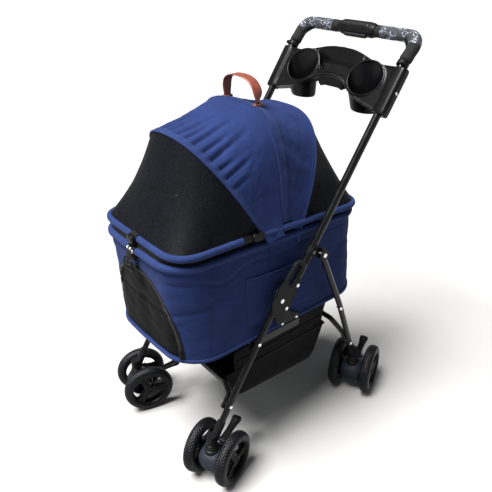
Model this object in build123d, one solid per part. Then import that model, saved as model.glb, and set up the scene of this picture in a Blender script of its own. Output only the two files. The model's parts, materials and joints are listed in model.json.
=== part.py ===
from build123d import *
import math
import os

# Pet stroller: folding four-caster frame with a lift-off fabric carrier.
# Frame: X across (+X is the pusher's left), -Y is forward, Z up, origin on the floor under the middle.
# All sizes in millimetres.

# ---- frame side view, (y, z) ----
FOLD_PIVOT = (-85.0, 445.0)          # push bar turns on the front legs here
REAR_PIVOT = (33.0, 533.0)           # rear leg hangs from the push bar here
FRONT_FOOT = (-303.0, 116.0)         # where the front leg's axis meets its swivel axis
REAR_FOOT = (206.0, 116.0)
BAR_END = (-78.0, 409.0)             # lowest point of the push bar
BAR_BEND = (291.5, 925.0)            # bar leans back above this point
HANDLE = (350.0, 985.0)              # cross bar of the handle
HANDLE_BEND_R = 62.0
LEG_TOP_EXTRA = 12.0                 # leg tube above the fold pivot
FOOT_TUBE_GAP = 24.0                 # leg tube ends this far short of the swivel axis

# ---- tube planes and sections ----
BAR_X, BAR_R = 185.5, 9.5
HANDLE_X = 188.0
LEG_X, LEG_R = 184.0, 8.0
REAR_TOP_X, REAR_FOOT_X, REAR_R = 206.5, 184.0, 7.5
REAR_STRAIGHT = 0.43                 # share of the rear leg that keeps its outer plane
TUBE_WALL = 1.5

# ---- fasteners ----
RIVET_R, RIVET_HEAD_R, RIVET_HEAD_H = 2.5, 4.5, 1.8
PIN_R, PIN_CLEAR, PIN_HEAD_R = 3.0, 0.08, 5.5

# ---- casters ----
WHEEL_R, WHEEL_W, WHEEL_PITCH = 70.0, 30.0, 92.0
TRAIL = 20.0
AXLE_R, RUN_CLEAR = 4.0, 0.06
RIM_R, HUB_R = 53.0, 13.0
STEM_R = 5.0
HOUSING_TOP, COLLAR_TOP, FOOT_BOTTOM = 104.0, 117.0, 118.0
HOUSING_HALF = 28.5
BOSS_R, BOSS_H, STEM_HOLE = 12.5, 26.0, 21.0
LEVER_PIVOT = (47.0, 82.0)           # brake lever's cross pin, local y and z
LEVER_RISE = 8.0                     # degrees the lever points above level at rest
LEVER_HUB_R, LEVER_W = 6.5, 22.0
CASTERS = {                          # swivel axis x, y and rest yaw in degrees
    "front_left": (LEG_X, FRONT_FOOT[0], 20.7),
    "front_right": (-LEG_X, FRONT_FOOT[0], -16.0),
    "rear_left": (REAR_FOOT_X, REAR_FOOT[0], 25.0),
    "rear_right": (-REAR_FOOT_X, REAR_FOOT[0], -18.0),
}

# ---- carrier ----
TUB_BOTTOM_Z, TUB_FRONT, TUB_REAR, TUB_HALF = 350.0, -338.0, 222.0, 172.5
TUB_CORNER_R = 85.0
LOWER_RIM_FRONT, LOWER_RIM_REAR = (-345.0, 602.0), (214.0, 576.0)
LOWER_RIM_HALF, RIM_CORNER_R = 160.0, 66.0
RIM_R_TUBE = 8.5
HATCH_PIVOT = (-138.0, 622.0)
UPPER_RIM_HALF = 163.0
UPPER_FRONT, UPPER_REAR = (-342.0, 630.0), (216.0, 597.0)
WALL = 4.0
CLOTH = 2.5
DOOR_HALF, DOOR_Z = 92.0, (385.0, 570.0)
# canopy hoops: base y, base z, half width, height, forward tilt in degrees, superellipse power
FRONT_BOW = (-99.0, 595.0, 163.0, 286.0, 30.5, 2.4)
CENTRE_BOW = (-54.0, 610.0, 160.0, 270.0, 0.0, 3.2)
REAR_BOW = (3.0, 596.0, 164.0, 262.0, -20.0, 2.9)
BOW_R = 3.0

# ---- tray ----
TRAY_START, TRAY_END = 2.0, 122.0    # along the bars, from TRAY_FOOT
TRAY_FOOT = (221.0, 826.0)
CUP_X, CUP_V = 112.0, 76.0
CUP_A, CUP_B, CUP_BOTTOM_A, CUP_BOTTOM_B = 42.0, 27.0, 34.0, 25.0
CUP_FLOOR_Z = 812.0
TRAY_WALL = 3.0
TRAY_CLEAR = 0.12                    # round the bars
TRAY_SCREW_V, TRAY_SCREW_R = 60.0, 2.2

SIDES = {"left": 1, "right": -1}


def unit(a, b):
    """Unit vector from a to b, both (y, z), and their distance."""
    dy, dz = b[0] - a[0], b[1] - a[1]
    length = math.hypot(dy, dz)
    return (dy / length, dz / length), length


BAR_DIR, _ = unit(BAR_END, BAR_BEND)
LEG_DIR, LEG_LENGTH = unit(FRONT_FOOT, FOLD_PIVOT)
REAR_DIR, REAR_LENGTH = unit(REAR_FOOT, REAR_PIVOT)


def along(point, direction, distance):
    return (point[0] + direction[0] * distance, point[1] + direction[1] * distance)


def at(x, yz):
    return (x, yz[0], yz[1])


def rod(start, end, radius, inner=0.0):
    """Round bar, or a tube when inner is given, between two points."""
    axis = Vector(*end) - Vector(*start)
    section = Circle(radius) - Circle(inner) if inner else Circle(radius)
    return extrude(Plane(origin=start, z_dir=axis) * section, axis.length)


def x_rod(yz, x0, x1, radius):
    return rod((x0, yz[0], yz[1]), (x1, yz[0], yz[1]), radius)


def swept(points, bends, radius, inner=0.0):
    """Bent bar through the points; the inner sweep hollows it."""
    path = FilletPolyline(*points, radius=bends)
    start = Plane(origin=path @ 0, z_dir=path % 0)
    solid = sweep(start * Circle(radius), path=path)
    if inner:
        solid -= sweep(start * Circle(inner), path=path)
    return solid


def plate(sketch, x0, x1):
    """Sketch drawn in (y, z), made solid from x0 to x1."""
    low, high = min(x0, x1), max(x0, x1)
    return extrude(Plane.YZ.offset(low) * sketch, high - low, dir=(1, 0, 0))


def rivet(yz, x_face, depth, side, radius=RIVET_R, head_r=RIVET_HEAD_R):
    """Domed rivet whose head sits on the outer face at |x| = x_face."""
    shank = x_rod(yz, side * (x_face - depth), side * x_face, radius)
    head = x_rod(yz, side * x_face, side * (x_face + RIVET_HEAD_H), head_r)
    outer = head.faces().sort_by(Axis.X)[-1 if side > 0 else 0]
    return shank + fillet(outer.edges(), RIVET_HEAD_H * 0.6)


# ---------------------------------------------------------------- front frame
LEG_RIVETS = [(-152.0, 346.0), (-245.0, 204.0)]
CROSS_R = 7.0


def front_leg(side):
    top = at(side * LEG_X, along(FOLD_PIVOT, LEG_DIR, LEG_TOP_EXTRA))
    foot = at(side * LEG_X, along(FRONT_FOOT, LEG_DIR, FOOT_TUBE_GAP))
    leg = rod(foot, top, LEG_R, LEG_R - TUBE_WALL)
    leg -= x_rod(FOLD_PIVOT, side * 170, side * 200, PIN_R)
    for hole in LEG_RIVETS:
        leg -= x_rod(hole, side * 170, side * 200, RIVET_R)
    return leg


def leg_socket(foot, direction, x, tube_r):
    """Plastic foot: sleeve round the leg's end and an upright boss bored for the caster stem."""
    sleeve = rod(at(x, along(foot, direction, 8)), at(x, along(foot, direction, 62)), tube_r + 2.6)
    boss = rod((x, foot[0], FOOT_BOTTOM), (x, foot[0], FOOT_BOTTOM + BOSS_H), BOSS_R)
    socket = sleeve + boss
    socket -= rod(at(x, along(foot, direction, FOOT_TUBE_GAP)), at(x, along(foot, direction, 70)), tube_r)
    socket -= rod((x, foot[0], FOOT_BOTTOM - 5), (x, foot[0], FOOT_BOTTOM + STEM_HOLE), STEM_R + RUN_CLEAR)
    return socket - Pos(x, foot[0], FOOT_BOTTOM - 40) * Box(80, 80, 80)


def front_legs_feet():
    return [leg_socket(FRONT_FOOT, LEG_DIR, s * LEG_X, LEG_R) for s in SIDES.values()]


def cross_tube(foot, direction, low, high, y_mid, z_mid, half):
    """U-shaped tube: its ends lie along the inner faces of both legs."""
    a, b = along(foot, direction, low), along(foot, direction, high)
    points = [at(half, a), at(half, b), at(half - 22, (y_mid, z_mid)), at(-half + 22, (y_mid, z_mid)),
              at(-half, b), at(-half, a)]
    return swept(points, [12, 14, 14, 12], CROSS_R, CROSS_R - TUBE_WALL)


FRONT_CROSS_X = LEG_X - LEG_R - CROSS_R - 0.2
REAR_CROSS_X = 175.0


def front_cross_tube():
    tube = cross_tube(FRONT_FOOT, LEG_DIR, 92, 128, -228, 251, FRONT_CROSS_X)
    for s in SIDES.values():
        tube -= x_rod(LEG_RIVETS[1], s * 150, s * 200, RIVET_R)
    return tube


RAIL_Y = (-168.0, -8.0)
RAIL_TOP = 349.6                     # 0.4 below the carrier's floor


def dock_rail(side):
    """Angle section riveted to the leg; the carrier's floor rests on its inward flange."""
    y0, y1 = RAIL_Y
    shelf = Pos(side * 165, (y0 + y1) / 2, RAIL_TOP - 1.5) * Box(20, y1 - y0, 3)
    web = Pos(side * 174.4, (y0 + y1) / 2, RAIL_TOP - 10) * Box(3.2, y1 - y0, 20)
    return shelf + web - x_rod(LEG_RIVETS[0], side * 160, side * 200, RIVET_R)


def front_rivets():
    outer = LEG_X + LEG_R
    out = []
    for s in SIDES.values():
        out.append(rivet(LEG_RIVETS[0], outer, 18.2, s))
        out.append(rivet(LEG_RIVETS[1], outer, 32, s))
    return out


def fold_pin(side):
    """Hinge pin through the leg and the fold plate, with a flat head outside the plate."""
    shank = x_rod(FOLD_PIVOT, side * (LEG_X - LEG_R), side * 197.3, PIN_R)
    return shank + x_rod(FOLD_PIVOT, side * 197.3, side * 198.6, PIN_HEAD_R)


BASKET_TOP, BASKET_HALF = 262.0, 150.0


def basket():
    """Hanging fabric tray between the legs, open at the top."""
    def profile(inset):
        return Polygon(
            (-221 + inset, 243), (-190 + inset, 178 + inset), (-172 + inset, 172 + inset),
            (66 - inset, 160 + inset), (82 - inset, 180 + inset), (112 - inset, 262),
            (-214 + inset, 262), align=None)
    outer = plate(profile(0), -BASKET_HALF, BASKET_HALF)
    inner = plate(profile(3), -BASKET_HALF + 3, BASKET_HALF - 3)
    return outer - inner


# ------------------------------------------------------------------- push bar
BAR_RIVETS = [(-38.0, 470.0), (-71.0, 418.0), (7.0, 546.0)]
PLATE_X = (192.3, 197.0)
BRACKET_X = (194.0, 198.6)
FLAT_HEAD_H = 1.5
SUNK_FACE = BRACKET_X[1] - FLAT_HEAD_H   # the rear leg passes just outside this rivet


def bar_point(z):
    """Point of the bar's axis at height z, (y, z)."""
    return along(BAR_END, BAR_DIR, (z - BAR_END[1]) / BAR_DIR[1])


def bar_sweep(inner=0.0, radius=BAR_R):
    """The push bar: two uprights and the handle in one bent piece."""
    left = [at(BAR_X, BAR_END), at(BAR_X, BAR_BEND), at(HANDLE_X, HANDLE)]
    right = [(-x, y, z) for x, y, z in reversed(left)]
    return swept(left + right, [60, HANDLE_BEND_R, HANDLE_BEND_R, 60], radius, inner)


def push_bar_tube():
    bar = bar_sweep(BAR_R - TUBE_WALL)
    for s in SIDES.values():
        for hole in BAR_RIVETS:
            bar -= x_rod(on_bar(hole), s * 150, s * 220, RIVET_R)
    return bar


def on_bar(point):
    """Nearest point of the bar's axis to a rivet's place."""
    d = (point[0] - BAR_END[0]) * BAR_DIR[0] + (point[1] - BAR_END[1]) * BAR_DIR[1]
    return along(BAR_END, BAR_DIR, max(d, 6))


def slot_sketch(centre, length, width, degrees):
    return Pos(centre[0], centre[1]) * Rot(0, 0, degrees) * SlotOverall(length, width)


LOOP_CENTRE, LOOP_ANGLE = (-45.0, 501.5), 48.0
LOCK_Z, LOCK_LENGTH, LOCK_WALL = 519.5, 14.0, 1.4


def fold_plate(side):
    """Outer plate of the fold joint: a loop above, a tapered shield over the leg and bar ends below."""
    loop = slot_sketch(LOOP_CENTRE, 78, 40, LOOP_ANGLE)
    shield = Polygon((-22, 480), (-42, 446), (-62, 416), (-84, 404), (-104, 405), (-117, 424),
                     (-113, 446), (-96, 476), (-78, 494), (-50, 500), align=None)
    low, high = side * PLATE_X[0], side * PLATE_X[1]
    body = plate(loop, low, high) + plate(shield, low, high)
    body -= plate(slot_sketch(LOOP_CENTRE, 54, 16, LOOP_ANGLE), side * 190, side * 200)
    bar_high = at(side * BAR_X, bar_point(600))
    body -= rod(at(side * BAR_X, bar_point(LOCK_Z - 12)), bar_high, BAR_R + LOCK_WALL + 0.5)
    body -= rod(at(side * BAR_X, BAR_END), bar_high, BAR_R)
    body -= x_rod(FOLD_PIVOT, side * 190, side * 200, PIN_R + PIN_CLEAR)
    for hole in BAR_RIVETS[:2]:
        body -= x_rod(on_bar(hole), side * 190, side * 200, RIVET_R)
    return body


def fold_lock(side):
    """Lock slide: a sleeve that rides up the bar, clear of the fold plate, to free the joint."""
    centre = bar_point(LOCK_Z)
    low, high = along(centre, BAR_DIR, -LOCK_LENGTH / 2), along(centre, BAR_DIR, LOCK_LENGTH / 2)
    return rod(at(side * BAR_X, low), at(side * BAR_X, high), BAR_R + 0.2 + LOCK_WALL, BAR_R + 0.2)


def leg_bracket(side):
    """Clamp on the push bar with two ears that hold the rear leg's top on its pin."""
    spot = on_bar(BAR_RIVETS[2])
    collar = rod(at(side * BAR_X, along(spot, BAR_DIR, -12)), at(side * BAR_X, along(spot, BAR_DIR, 12)), 12.4)
    inner_ear = make_hull([*(Pos(*spot) * Circle(11)).edges(), *(Pos(*REAR_PIVOT) * Circle(11)).edges()])
    body = collar + plate(inner_ear, side * BRACKET_X[0], side * BRACKET_X[1])
    body += plate(Pos(*REAR_PIVOT) * Circle(14), side * 214.4, side * 217)
    bridge = Pos(*REAR_PIVOT) * (Circle(14) - Circle(11.5))
    bridge &= Pos(REAR_PIVOT[0] + 18, REAR_PIVOT[1] + 8.4) * Rot(0, 0, 25) * Rectangle(40, 16)
    body += plate(Pos(*REAR_PIVOT) * Circle(14), side * BRACKET_X[0], side * BRACKET_X[1])
    body += plate(bridge, side * BRACKET_X[0], side * 217)
    body -= rod(at(side * BAR_X, BAR_END), at(side * BAR_X, BAR_BEND), BAR_R)
    body -= x_rod(spot, side * 160, side * 200, RIVET_R)
    body -= x_rod(spot, side * SUNK_FACE, side * 200, RIVET_HEAD_R)
    return body - x_rod(REAR_PIVOT, side * 190, side * 220, PIN_R)


def rear_pin(side):
    return x_rod(REAR_PIVOT, side * BRACKET_X[0], side * 217, PIN_R) + x_rod(
        REAR_PIVOT, side * 217, side * 218.4, PIN_HEAD_R)


def push_bar_rivets():
    out = []
    for s in SIDES.values():
        for hole, face in zip(BAR_RIVETS, (PLATE_X[1], PLATE_X[1], SUNK_FACE)):
            spot = on_bar(hole)
            shank = x_rod(spot, s * (BAR_X - BAR_R), s * face, RIVET_R)
            out.append(shank + x_rod(spot, s * face, s * (face + FLAT_HEAD_H), RIVET_HEAD_R))
        out.append(rear_pin(s))
    return out


def handle_grip(side, bar):
    start = at(side * (BAR_X + 0.4), along(BAR_BEND, unit(BAR_BEND, HANDLE)[0], 16))
    points = [start, at(side * HANDLE_X, HANDLE), at(side * 60, HANDLE)]
    return swept(points, HANDLE_BEND_R, 15.5) - bar


def grip_collar(side, bar):
    direction = unit(BAR_BEND, HANDLE)[0]
    low, high = along(BAR_BEND, direction, 3), along(BAR_BEND, direction, 15)
    return rod(at(side * (BAR_X + 0.1), low), at(side * (BAR_X + 0.4), high), 14.5) - bar


TRIGGER_DIR = (-math.sqrt(0.5), -math.sqrt(0.5))
TRIGGER_SIZE = (72.0, 12.0, 9.0)
TRIGGER_OUT = 20.0                   # from the handle's axis to the trigger's middle
TRIGGER_TRAVEL_ROOM = 4.5


def trigger_housing():
    """Ribbed sleeve over the middle of the handle, hollowed in front for the trigger."""
    sleeve = x_rod(HANDLE, -59, 59, 18.5)
    sleeve = fillet(sleeve.edges(), 3)
    sleeve -= x_rod(HANDLE, -60, 60, BAR_R)
    centre = along(HANDLE, TRIGGER_DIR, TRIGGER_OUT)
    pocket = Box(TRIGGER_SIZE[0] + 4, 2 * TRIGGER_TRAVEL_ROOM + TRIGGER_SIZE[1] + 2, TRIGGER_SIZE[2] + 1.6)
    return sleeve - Pos(0, *centre) * Rot(45, 0, 0) * pocket


def fold_trigger():
    """One-hand squeeze bar under the handle; it moves towards the bar."""
    centre = along(HANDLE, TRIGGER_DIR, TRIGGER_OUT)
    bar = Pos(0, *centre) * Rot(45, 0, 0) * Box(*TRIGGER_SIZE)
    return fillet(bar.edges().filter_by(Axis.X), 2.5)


def tray_plane(offset=0.0):
    """Plane of the bars: local x across, local y up along them, normal forward and up."""
    normal = Vector(0, -BAR_DIR[1], BAR_DIR[0])
    origin = Vector(0, *TRAY_FOOT) + normal * offset
    return Plane(origin=origin, x_dir=(1, 0, 0), z_dir=normal)


def cup_sketch(z, a, b, inset):
    y = TRAY_FOOT[0] + CUP_V * BAR_DIR[0]
    return [Pos(s * CUP_X, y + 3, z) * Ellipse(a - inset, b - inset) for s in SIDES.values()]


def tray_outline():
    right = [(183, TRAY_START), (183, TRAY_END), (140, 117), (95, 131), (50, 141)]
    low = [(150, 3), (100, 20), (50, 36)]
    left_top = [(-x, y) for x, y in reversed(right)]
    left_low = [(-x, y) for x, y in low]
    edge = Polyline(*right, (0, 144), *left_top, *left_low, (0, 42), *reversed(low), close=True)
    return make_face(edge)


def pocket_sketch(inset):
    half_low, half_high = 52 - inset, 72 - inset
    return Polygon((-half_low, 64 + inset), (half_low, 64 + inset), (half_high, 128 - inset),
                   (-half_high, 128 - inset), align=None)


POCKET_DEPTH = 34.0


def parent_tray():
    """Moulded tray between the bars: two cup wells, a middle pocket and cheeks that grip the tubes."""
    body = extrude(tray_plane(4) * tray_outline(), TRAY_WALL)
    skirt = tray_outline() - offset(tray_outline(), -TRAY_WALL)
    body += extrude(tray_plane(-8) * skirt, 13)
    body += extrude(tray_plane(4 - POCKET_DEPTH) * pocket_sketch(-TRAY_WALL), POCKET_DEPTH)
    mouth_z = 945.0
    half_space = extrude(tray_plane(4.5) * Rectangle(500, 500), -200)
    cups_out = [loft([low, high]) for low, high in zip(
        cup_sketch(CUP_FLOOR_Z, CUP_BOTTOM_A, CUP_BOTTOM_B, 0), cup_sketch(mouth_z, CUP_A, CUP_B, 0))]
    for cup in cups_out:
        body += cup & half_space
    cups_in = [loft([low, high]) for low, high in zip(
        cup_sketch(CUP_FLOOR_Z + TRAY_WALL, CUP_BOTTOM_A, CUP_BOTTOM_B, TRAY_WALL),
        cup_sketch(mouth_z, CUP_A, CUP_B, TRAY_WALL))]
    for cup in cups_in:
        body -= cup
    body -= extrude(tray_plane(7 - POCKET_DEPTH) * pocket_sketch(0), POCKET_DEPTH + 20)
    for s in SIDES.values():
        low, high = along(TRAY_FOOT, BAR_DIR, TRAY_START), along(TRAY_FOOT, BAR_DIR, TRAY_END - 1)
        body += rod(at(s * BAR_X, low), at(s * BAR_X, high), 13)
        body -= rod(at(s * BAR_X, BAR_END), at(s * BAR_X, BAR_BEND), BAR_R)
        body -= x_rod(along(TRAY_FOOT, BAR_DIR, TRAY_SCREW_V), s * 180, s * 210, TRAY_SCREW_R)
    return body


def tray_screws():
    spot = along(TRAY_FOOT, BAR_DIR, TRAY_SCREW_V)
    start, face, end = 195.3, 198.55, 200.2
    return [x_rod(spot, s * start, s * face, TRAY_SCREW_R - 0.05) + x_rod(spot, s * face, s * end, 4.0)
            for s in SIDES.values()]


# ----------------------------------------------------------------- rear frame
REAR_RIVETS = [(107.0, 343.0), (175.0, 186.0)]


def rear_leg_x(share):
    """|x| of the rear leg's axis at a share of the way down from its pivot."""
    over = max(0.0, (share - REAR_STRAIGHT) / (1 - REAR_STRAIGHT))
    return REAR_TOP_X - (REAR_TOP_X - REAR_FOOT_X) * over


def rear_point(share):
    return along(REAR_PIVOT, REAR_DIR, -REAR_LENGTH * share)


def rear_leg(side):
    top = at(side * REAR_TOP_X, along(REAR_PIVOT, REAR_DIR, 5))
    knee = at(side * REAR_TOP_X, rear_point(REAR_STRAIGHT))
    foot = at(side * rear_leg_x(1 - FOOT_TUBE_GAP / REAR_LENGTH), rear_point(1 - FOOT_TUBE_GAP / REAR_LENGTH))
    leg = swept([top, knee, foot], 400, REAR_R, REAR_R - TUBE_WALL)
    leg -= x_rod(REAR_PIVOT, side * 190, side * 220, PIN_R + PIN_CLEAR)
    for hole in REAR_RIVETS:
        leg -= x_rod(hole, side * 160, side * 220, RIVET_R)
    return leg


def rear_feet():
    down = (-REAR_DIR[0], -REAR_DIR[1])
    out = []
    for s in SIDES.values():
        near = REAR_LENGTH - FOOT_TUBE_GAP
        tube_low = at(s * rear_leg_x(near / REAR_LENGTH), along(REAR_PIVOT, down, near))
        tube_high = at(s * rear_leg_x(0.85), rear_point(0.85))
        end = at(s * rear_leg_x(1 - 8 / REAR_LENGTH), rear_point(1 - 8 / REAR_LENGTH))
        sleeve_top = at(s * rear_leg_x(0.87), rear_point(0.87))
        body = rod(end, sleeve_top, REAR_R + 2.6)
        x, y = s * REAR_FOOT_X, REAR_FOOT[0]
        body += rod((x, y, FOOT_BOTTOM), (x, y, FOOT_BOTTOM + BOSS_H), BOSS_R)
        body -= rod(tube_low, tube_high, REAR_R)
        body -= rod((x, y, FOOT_BOTTOM - 5), (x, y, FOOT_BOTTOM + STEM_HOLE), STEM_R + RUN_CLEAR)
        out.append(body - Pos(x, y, FOOT_BOTTOM - 40) * Box(80, 80, 80))
    return out


def rear_cross_tube():
    tube = cross_tube(REAR_FOOT, REAR_DIR, 62, 110, 136, 267, REAR_CROSS_X)
    for s in SIDES.values():
        tube -= x_rod(REAR_RIVETS[1], s * 160, s * 220, RIVET_R)
    return tube


def rear_rivets():
    """Strap rivets in the legs, and the rivets that tie the cross tube to them."""
    out = []
    for s in SIDES.values():
        for hole, depth in zip(REAR_RIVETS, (15.0, 28.0)):
            share = (REAR_PIVOT[1] - hole[1]) / (REAR_PIVOT[1] - REAR_FOOT[1])
            out.append(rivet(hole, rear_leg_x(share) + REAR_R + 0.4, depth, s))
    return out


# -------------------------------------------------------------------- casters
def caster_place(name):
    x, y, yaw = CASTERS[name]
    return Pos(x, y, 0) * Rot(0, 0, yaw)


def caster_housing():
    """Rounded fork body between the wheels, stepped collar, and the swivel stem on top."""
    body = Pos(0, 6, 66) * Rot(0, 90, 0) * Cylinder(36, 2 * HOUSING_HALF)
    body = fillet(body.edges(), 9)
    body += Pos(0, 3, 92) * Cylinder(19, 24)
    body += Pos(0, 0, (HOUSING_TOP + COLLAR_TOP) / 2) * Cylinder(15, COLLAR_TOP - HOUSING_TOP)
    body += Pos(0, 0, COLLAR_TOP + 10) * Cylinder(STEM_R, 20)
    body -= Pos(0, TRAIL, WHEEL_R) * Rot(0, 90, 0) * Cylinder(AXLE_R, 100)
    pocket = Pos(0, LEVER_PIVOT[0] + 12, LEVER_PIVOT[1]) * Box(LEVER_W + 1, 40, 70)
    ears = [Pos(s * (LEVER_W / 2 + 3), LEVER_PIVOT[0] - 8, LEVER_PIVOT[1]) * Box(5, 28, 16) for s in (-1, 1)]
    body = body - pocket + ears
    return body + Pos(0, *LEVER_PIVOT) * Rot(0, 90, 0) * Cylinder(2.5, LEVER_W + 8)


def caster_axle():
    half = WHEEL_PITCH / 2 + WHEEL_W / 2
    return Pos(0, TRAIL, WHEEL_R) * Rot(0, 90, 0) * Cylinder(AXLE_R, 2 * half - 6)


def brake_lever():
    """Foot lever behind the fork, hinged on a cross pin; a flared pad at its end."""
    arm = Pos(0, 35, 1) * Box(LEVER_W, 66, 9)
    pad = Pos(0, 70, 3) * Box(LEVER_W + 8, 18, 13)
    hub = Rot(0, 90, 0) * Cylinder(LEVER_HUB_R, LEVER_W)
    lever = fillet(arm.edges().filter_by(Axis.Y), 2.5) + fillet(pad.edges().filter_by(Axis.Z), 5) + hub
    lever -= Rot(0, 90, 0) * Cylinder(2.56, 60)
    return Pos(0, *LEVER_PIVOT) * Rot(LEVER_RISE, 0, 0) * lever


def wheel(offset_x):
    """Rim with three spokes and its tyre, as two solids."""
    turn = Pos(offset_x, TRAIL, WHEEL_R) * Rot(0, 90, 0)
    ring = Cylinder(RIM_R, 22) - Cylinder(RIM_R - 9, 30)
    hub = Cylinder(HUB_R, WHEEL_W - 2)
    spokes = [Rot(0, 0, 120 * k) * Pos((HUB_R + RIM_R) / 2 - 3, 0, 0) * Box(RIM_R - HUB_R, 15, 9)
              for k in range(3)]
    rim = ring + hub + spokes - Cylinder(AXLE_R + RUN_CLEAR, 60)
    tyre = Cylinder(WHEEL_R, WHEEL_W)
    tyre = fillet(tyre.edges().filter_by(GeomType.CIRCLE), 10) - Cylinder(RIM_R, 60)
    return [turn * rim, turn * tyre]


# -------------------------------------------------------------------- carrier
def rim_plane(front, rear):
    """Plane through both ends of a rim's side view, local x across and local y to the rear."""
    middle = ((front[0] + rear[0]) / 2, (front[1] + rear[1]) / 2)
    direction, length = unit(front, rear)
    normal = Vector(0, -direction[1], direction[0])
    return Plane(origin=at(0, middle), x_dir=(1, 0, 0), z_dir=normal), length


def tub_loft(inset, floor_z, top_drop):
    plane, length = rim_plane(LOWER_RIM_FRONT, LOWER_RIM_REAR)
    middle = (TUB_FRONT + TUB_REAR) / 2
    low = Pos(0, middle, floor_z) * RectangleRounded(
        2 * (TUB_HALF - inset), TUB_REAR - TUB_FRONT - 2 * inset, TUB_CORNER_R - inset)
    high = plane.offset(top_drop) * RectangleRounded(
        2 * (LOWER_RIM_HALF + 3 - inset), length + 6 - 2 * inset, RIM_CORNER_R - inset)
    return loft([low, high])


def door_box():
    return Pos(0, TUB_FRONT, sum(DOOR_Z) / 2) * Box(2 * DOOR_HALF, 90, DOOR_Z[1] - DOOR_Z[0])


def tub_shell():
    outer = tub_loft(0, TUB_BOTTOM_Z, -RIM_R_TUBE - 0.2)
    inner = tub_loft(WALL, TUB_BOTTOM_Z + 6, 0)
    return outer - inner


def base_board():
    middle = (TUB_FRONT + TUB_REAR) / 2
    section = RectangleRounded(2 * (TUB_HALF - 8), TUB_REAR - TUB_FRONT - 18, TUB_CORNER_R - 8)
    return extrude(Pos(0, middle, TUB_BOTTOM_Z + 6) * section, 6)


def cushion():
    middle = (TUB_FRONT + TUB_REAR) / 2
    section = RectangleRounded(2 * (TUB_HALF - 10), TUB_REAR - TUB_FRONT - 24, TUB_CORNER_R - 10)
    pad = extrude(Pos(0, middle, TUB_BOTTOM_Z + 12.2) * section, 26)
    return fillet(pad.edges().group_by(Axis.Z)[-1], 8)


def lower_rim():
    plane, length = rim_plane(LOWER_RIM_FRONT, LOWER_RIM_REAR)
    path = (plane * RectangleRounded(2 * LOWER_RIM_HALF, length, RIM_CORNER_R)).wire()
    start = Plane(origin=path @ 0, z_dir=path % 0)
    return sweep(start * Circle(RIM_R_TUBE), path=path)


def half_rim(end, near):
    """U-shaped half of the upper rim, from the side connectors to its cross run."""
    points = [at(UPPER_RIM_HALF, near), at(UPPER_RIM_HALF, end), at(-UPPER_RIM_HALF, end),
              at(-UPPER_RIM_HALF, near)]
    return swept(points, RIM_CORNER_R, RIM_R_TUBE)


def rear_rim():
    return half_rim(UPPER_REAR, (HATCH_PIVOT[0] + 12, HATCH_PIVOT[1] - 1))


def front_rim():
    return half_rim(UPPER_FRONT, (HATCH_PIVOT[0] - 12, HATCH_PIVOT[1] + 0.5))


def rim_connectors():
    """Side sockets on the rear rim whose pins carry the front rim's ends."""
    out = []
    for s in SIDES.values():
        body = Pos(s * 167, HATCH_PIVOT[0] + 14, HATCH_PIVOT[1]) * Box(12.4, 8, 18)
        body += x_rod(HATCH_PIVOT, s * 170.2, s * 173.2, 9)
        body += Pos(s * 171.7, HATCH_PIVOT[0] + 9, HATCH_PIVOT[1]) * Box(3, 18, 18)
        body += x_rod(HATCH_PIVOT, s * 160, s * 170.2, PIN_R)
        out.append(body - rear_rim())
    return out


def front_hinge_ends():
    """Eye at each end of the front rim, turning on the connector's pin."""
    out = []
    for s in SIDES.values():
        eye = x_rod(HATCH_PIVOT, s * 161, s * 169.8, 8.5)
        eye += Pos(s * 165.4, HATCH_PIVOT[0] - 7, HATCH_PIVOT[1]) * Box(8.8, 10, 15)
        out.append(eye - x_rod(HATCH_PIVOT, s * 155, s * 175, PIN_R + PIN_CLEAR))
    return out


def bow_sketch(bow, base_z, inset):
    """Closed section of a canopy hoop, cut off level at base_z."""
    y, z, half, height, tilt, power = bow
    half, height = half - inset, height - inset
    low = (base_z - z) / math.cos(math.radians(tilt))
    start = math.asin((low / height) ** (power / 2))
    count = 10
    points = []
    for k in range(count + 1):
        angle = start + (math.pi - 2 * start) * k / count
        c, s = math.cos(angle), math.sin(angle)
        across = math.copysign(abs(c) ** (2 / power), c) * half
        points.append((across, height * s ** (2 / power)))
    edge = Spline(*points) + Line(points[-1], points[0])
    up = Vector(0, -math.sin(math.radians(tilt)), math.cos(math.radians(tilt)))
    plane = Plane(origin=(0, y, z), x_dir=(1, 0, 0), z_dir=Vector(1, 0, 0).cross(up))
    return plane * make_face(edge)


def shell_between(sections, cloth=CLOTH):
    """Thin shell lofted through hoop sections; each is (bow, base height)."""
    outer = loft([bow_sketch(bow, base, 0) for bow, base in sections])
    inner = loft([bow_sketch(bow, base - 0.01, cloth) for bow, base in sections])
    return outer - inner


def rim_top(y):
    """Height just above the upper rear rim at y."""
    share = (y - HATCH_PIVOT[0]) / (UPPER_REAR[0] - HATCH_PIVOT[0])
    return HATCH_PIVOT[1] + (UPPER_REAR[1] - HATCH_PIVOT[1]) * share + RIM_R_TUBE + 0.8


def canopy():
    return shell_between([(FRONT_BOW, rim_top(-118)), (CENTRE_BOW, rim_top(-54)), (REAR_BOW, rim_top(12))])


REAR_END_BOW = (200.0, 600.0, 150.0, 16.0, 0.0, 2.9)
FRONT_END_BOW = (-326.0, 630.0, 150.0, 22.0, 0.0, 2.4)


def shift_bow(bow, dy):
    return (bow[0] + dy, *bow[1:])


def rear_mesh():
    return shell_between([(shift_bow(REAR_BOW, 0.4), rim_top(12)), (REAR_END_BOW, 608.0)], 2.0)


def front_mesh():
    return shell_between([(shift_bow(FRONT_BOW, -0.4), 642.0), (FRONT_END_BOW, 642.0)], 2.0)


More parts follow.
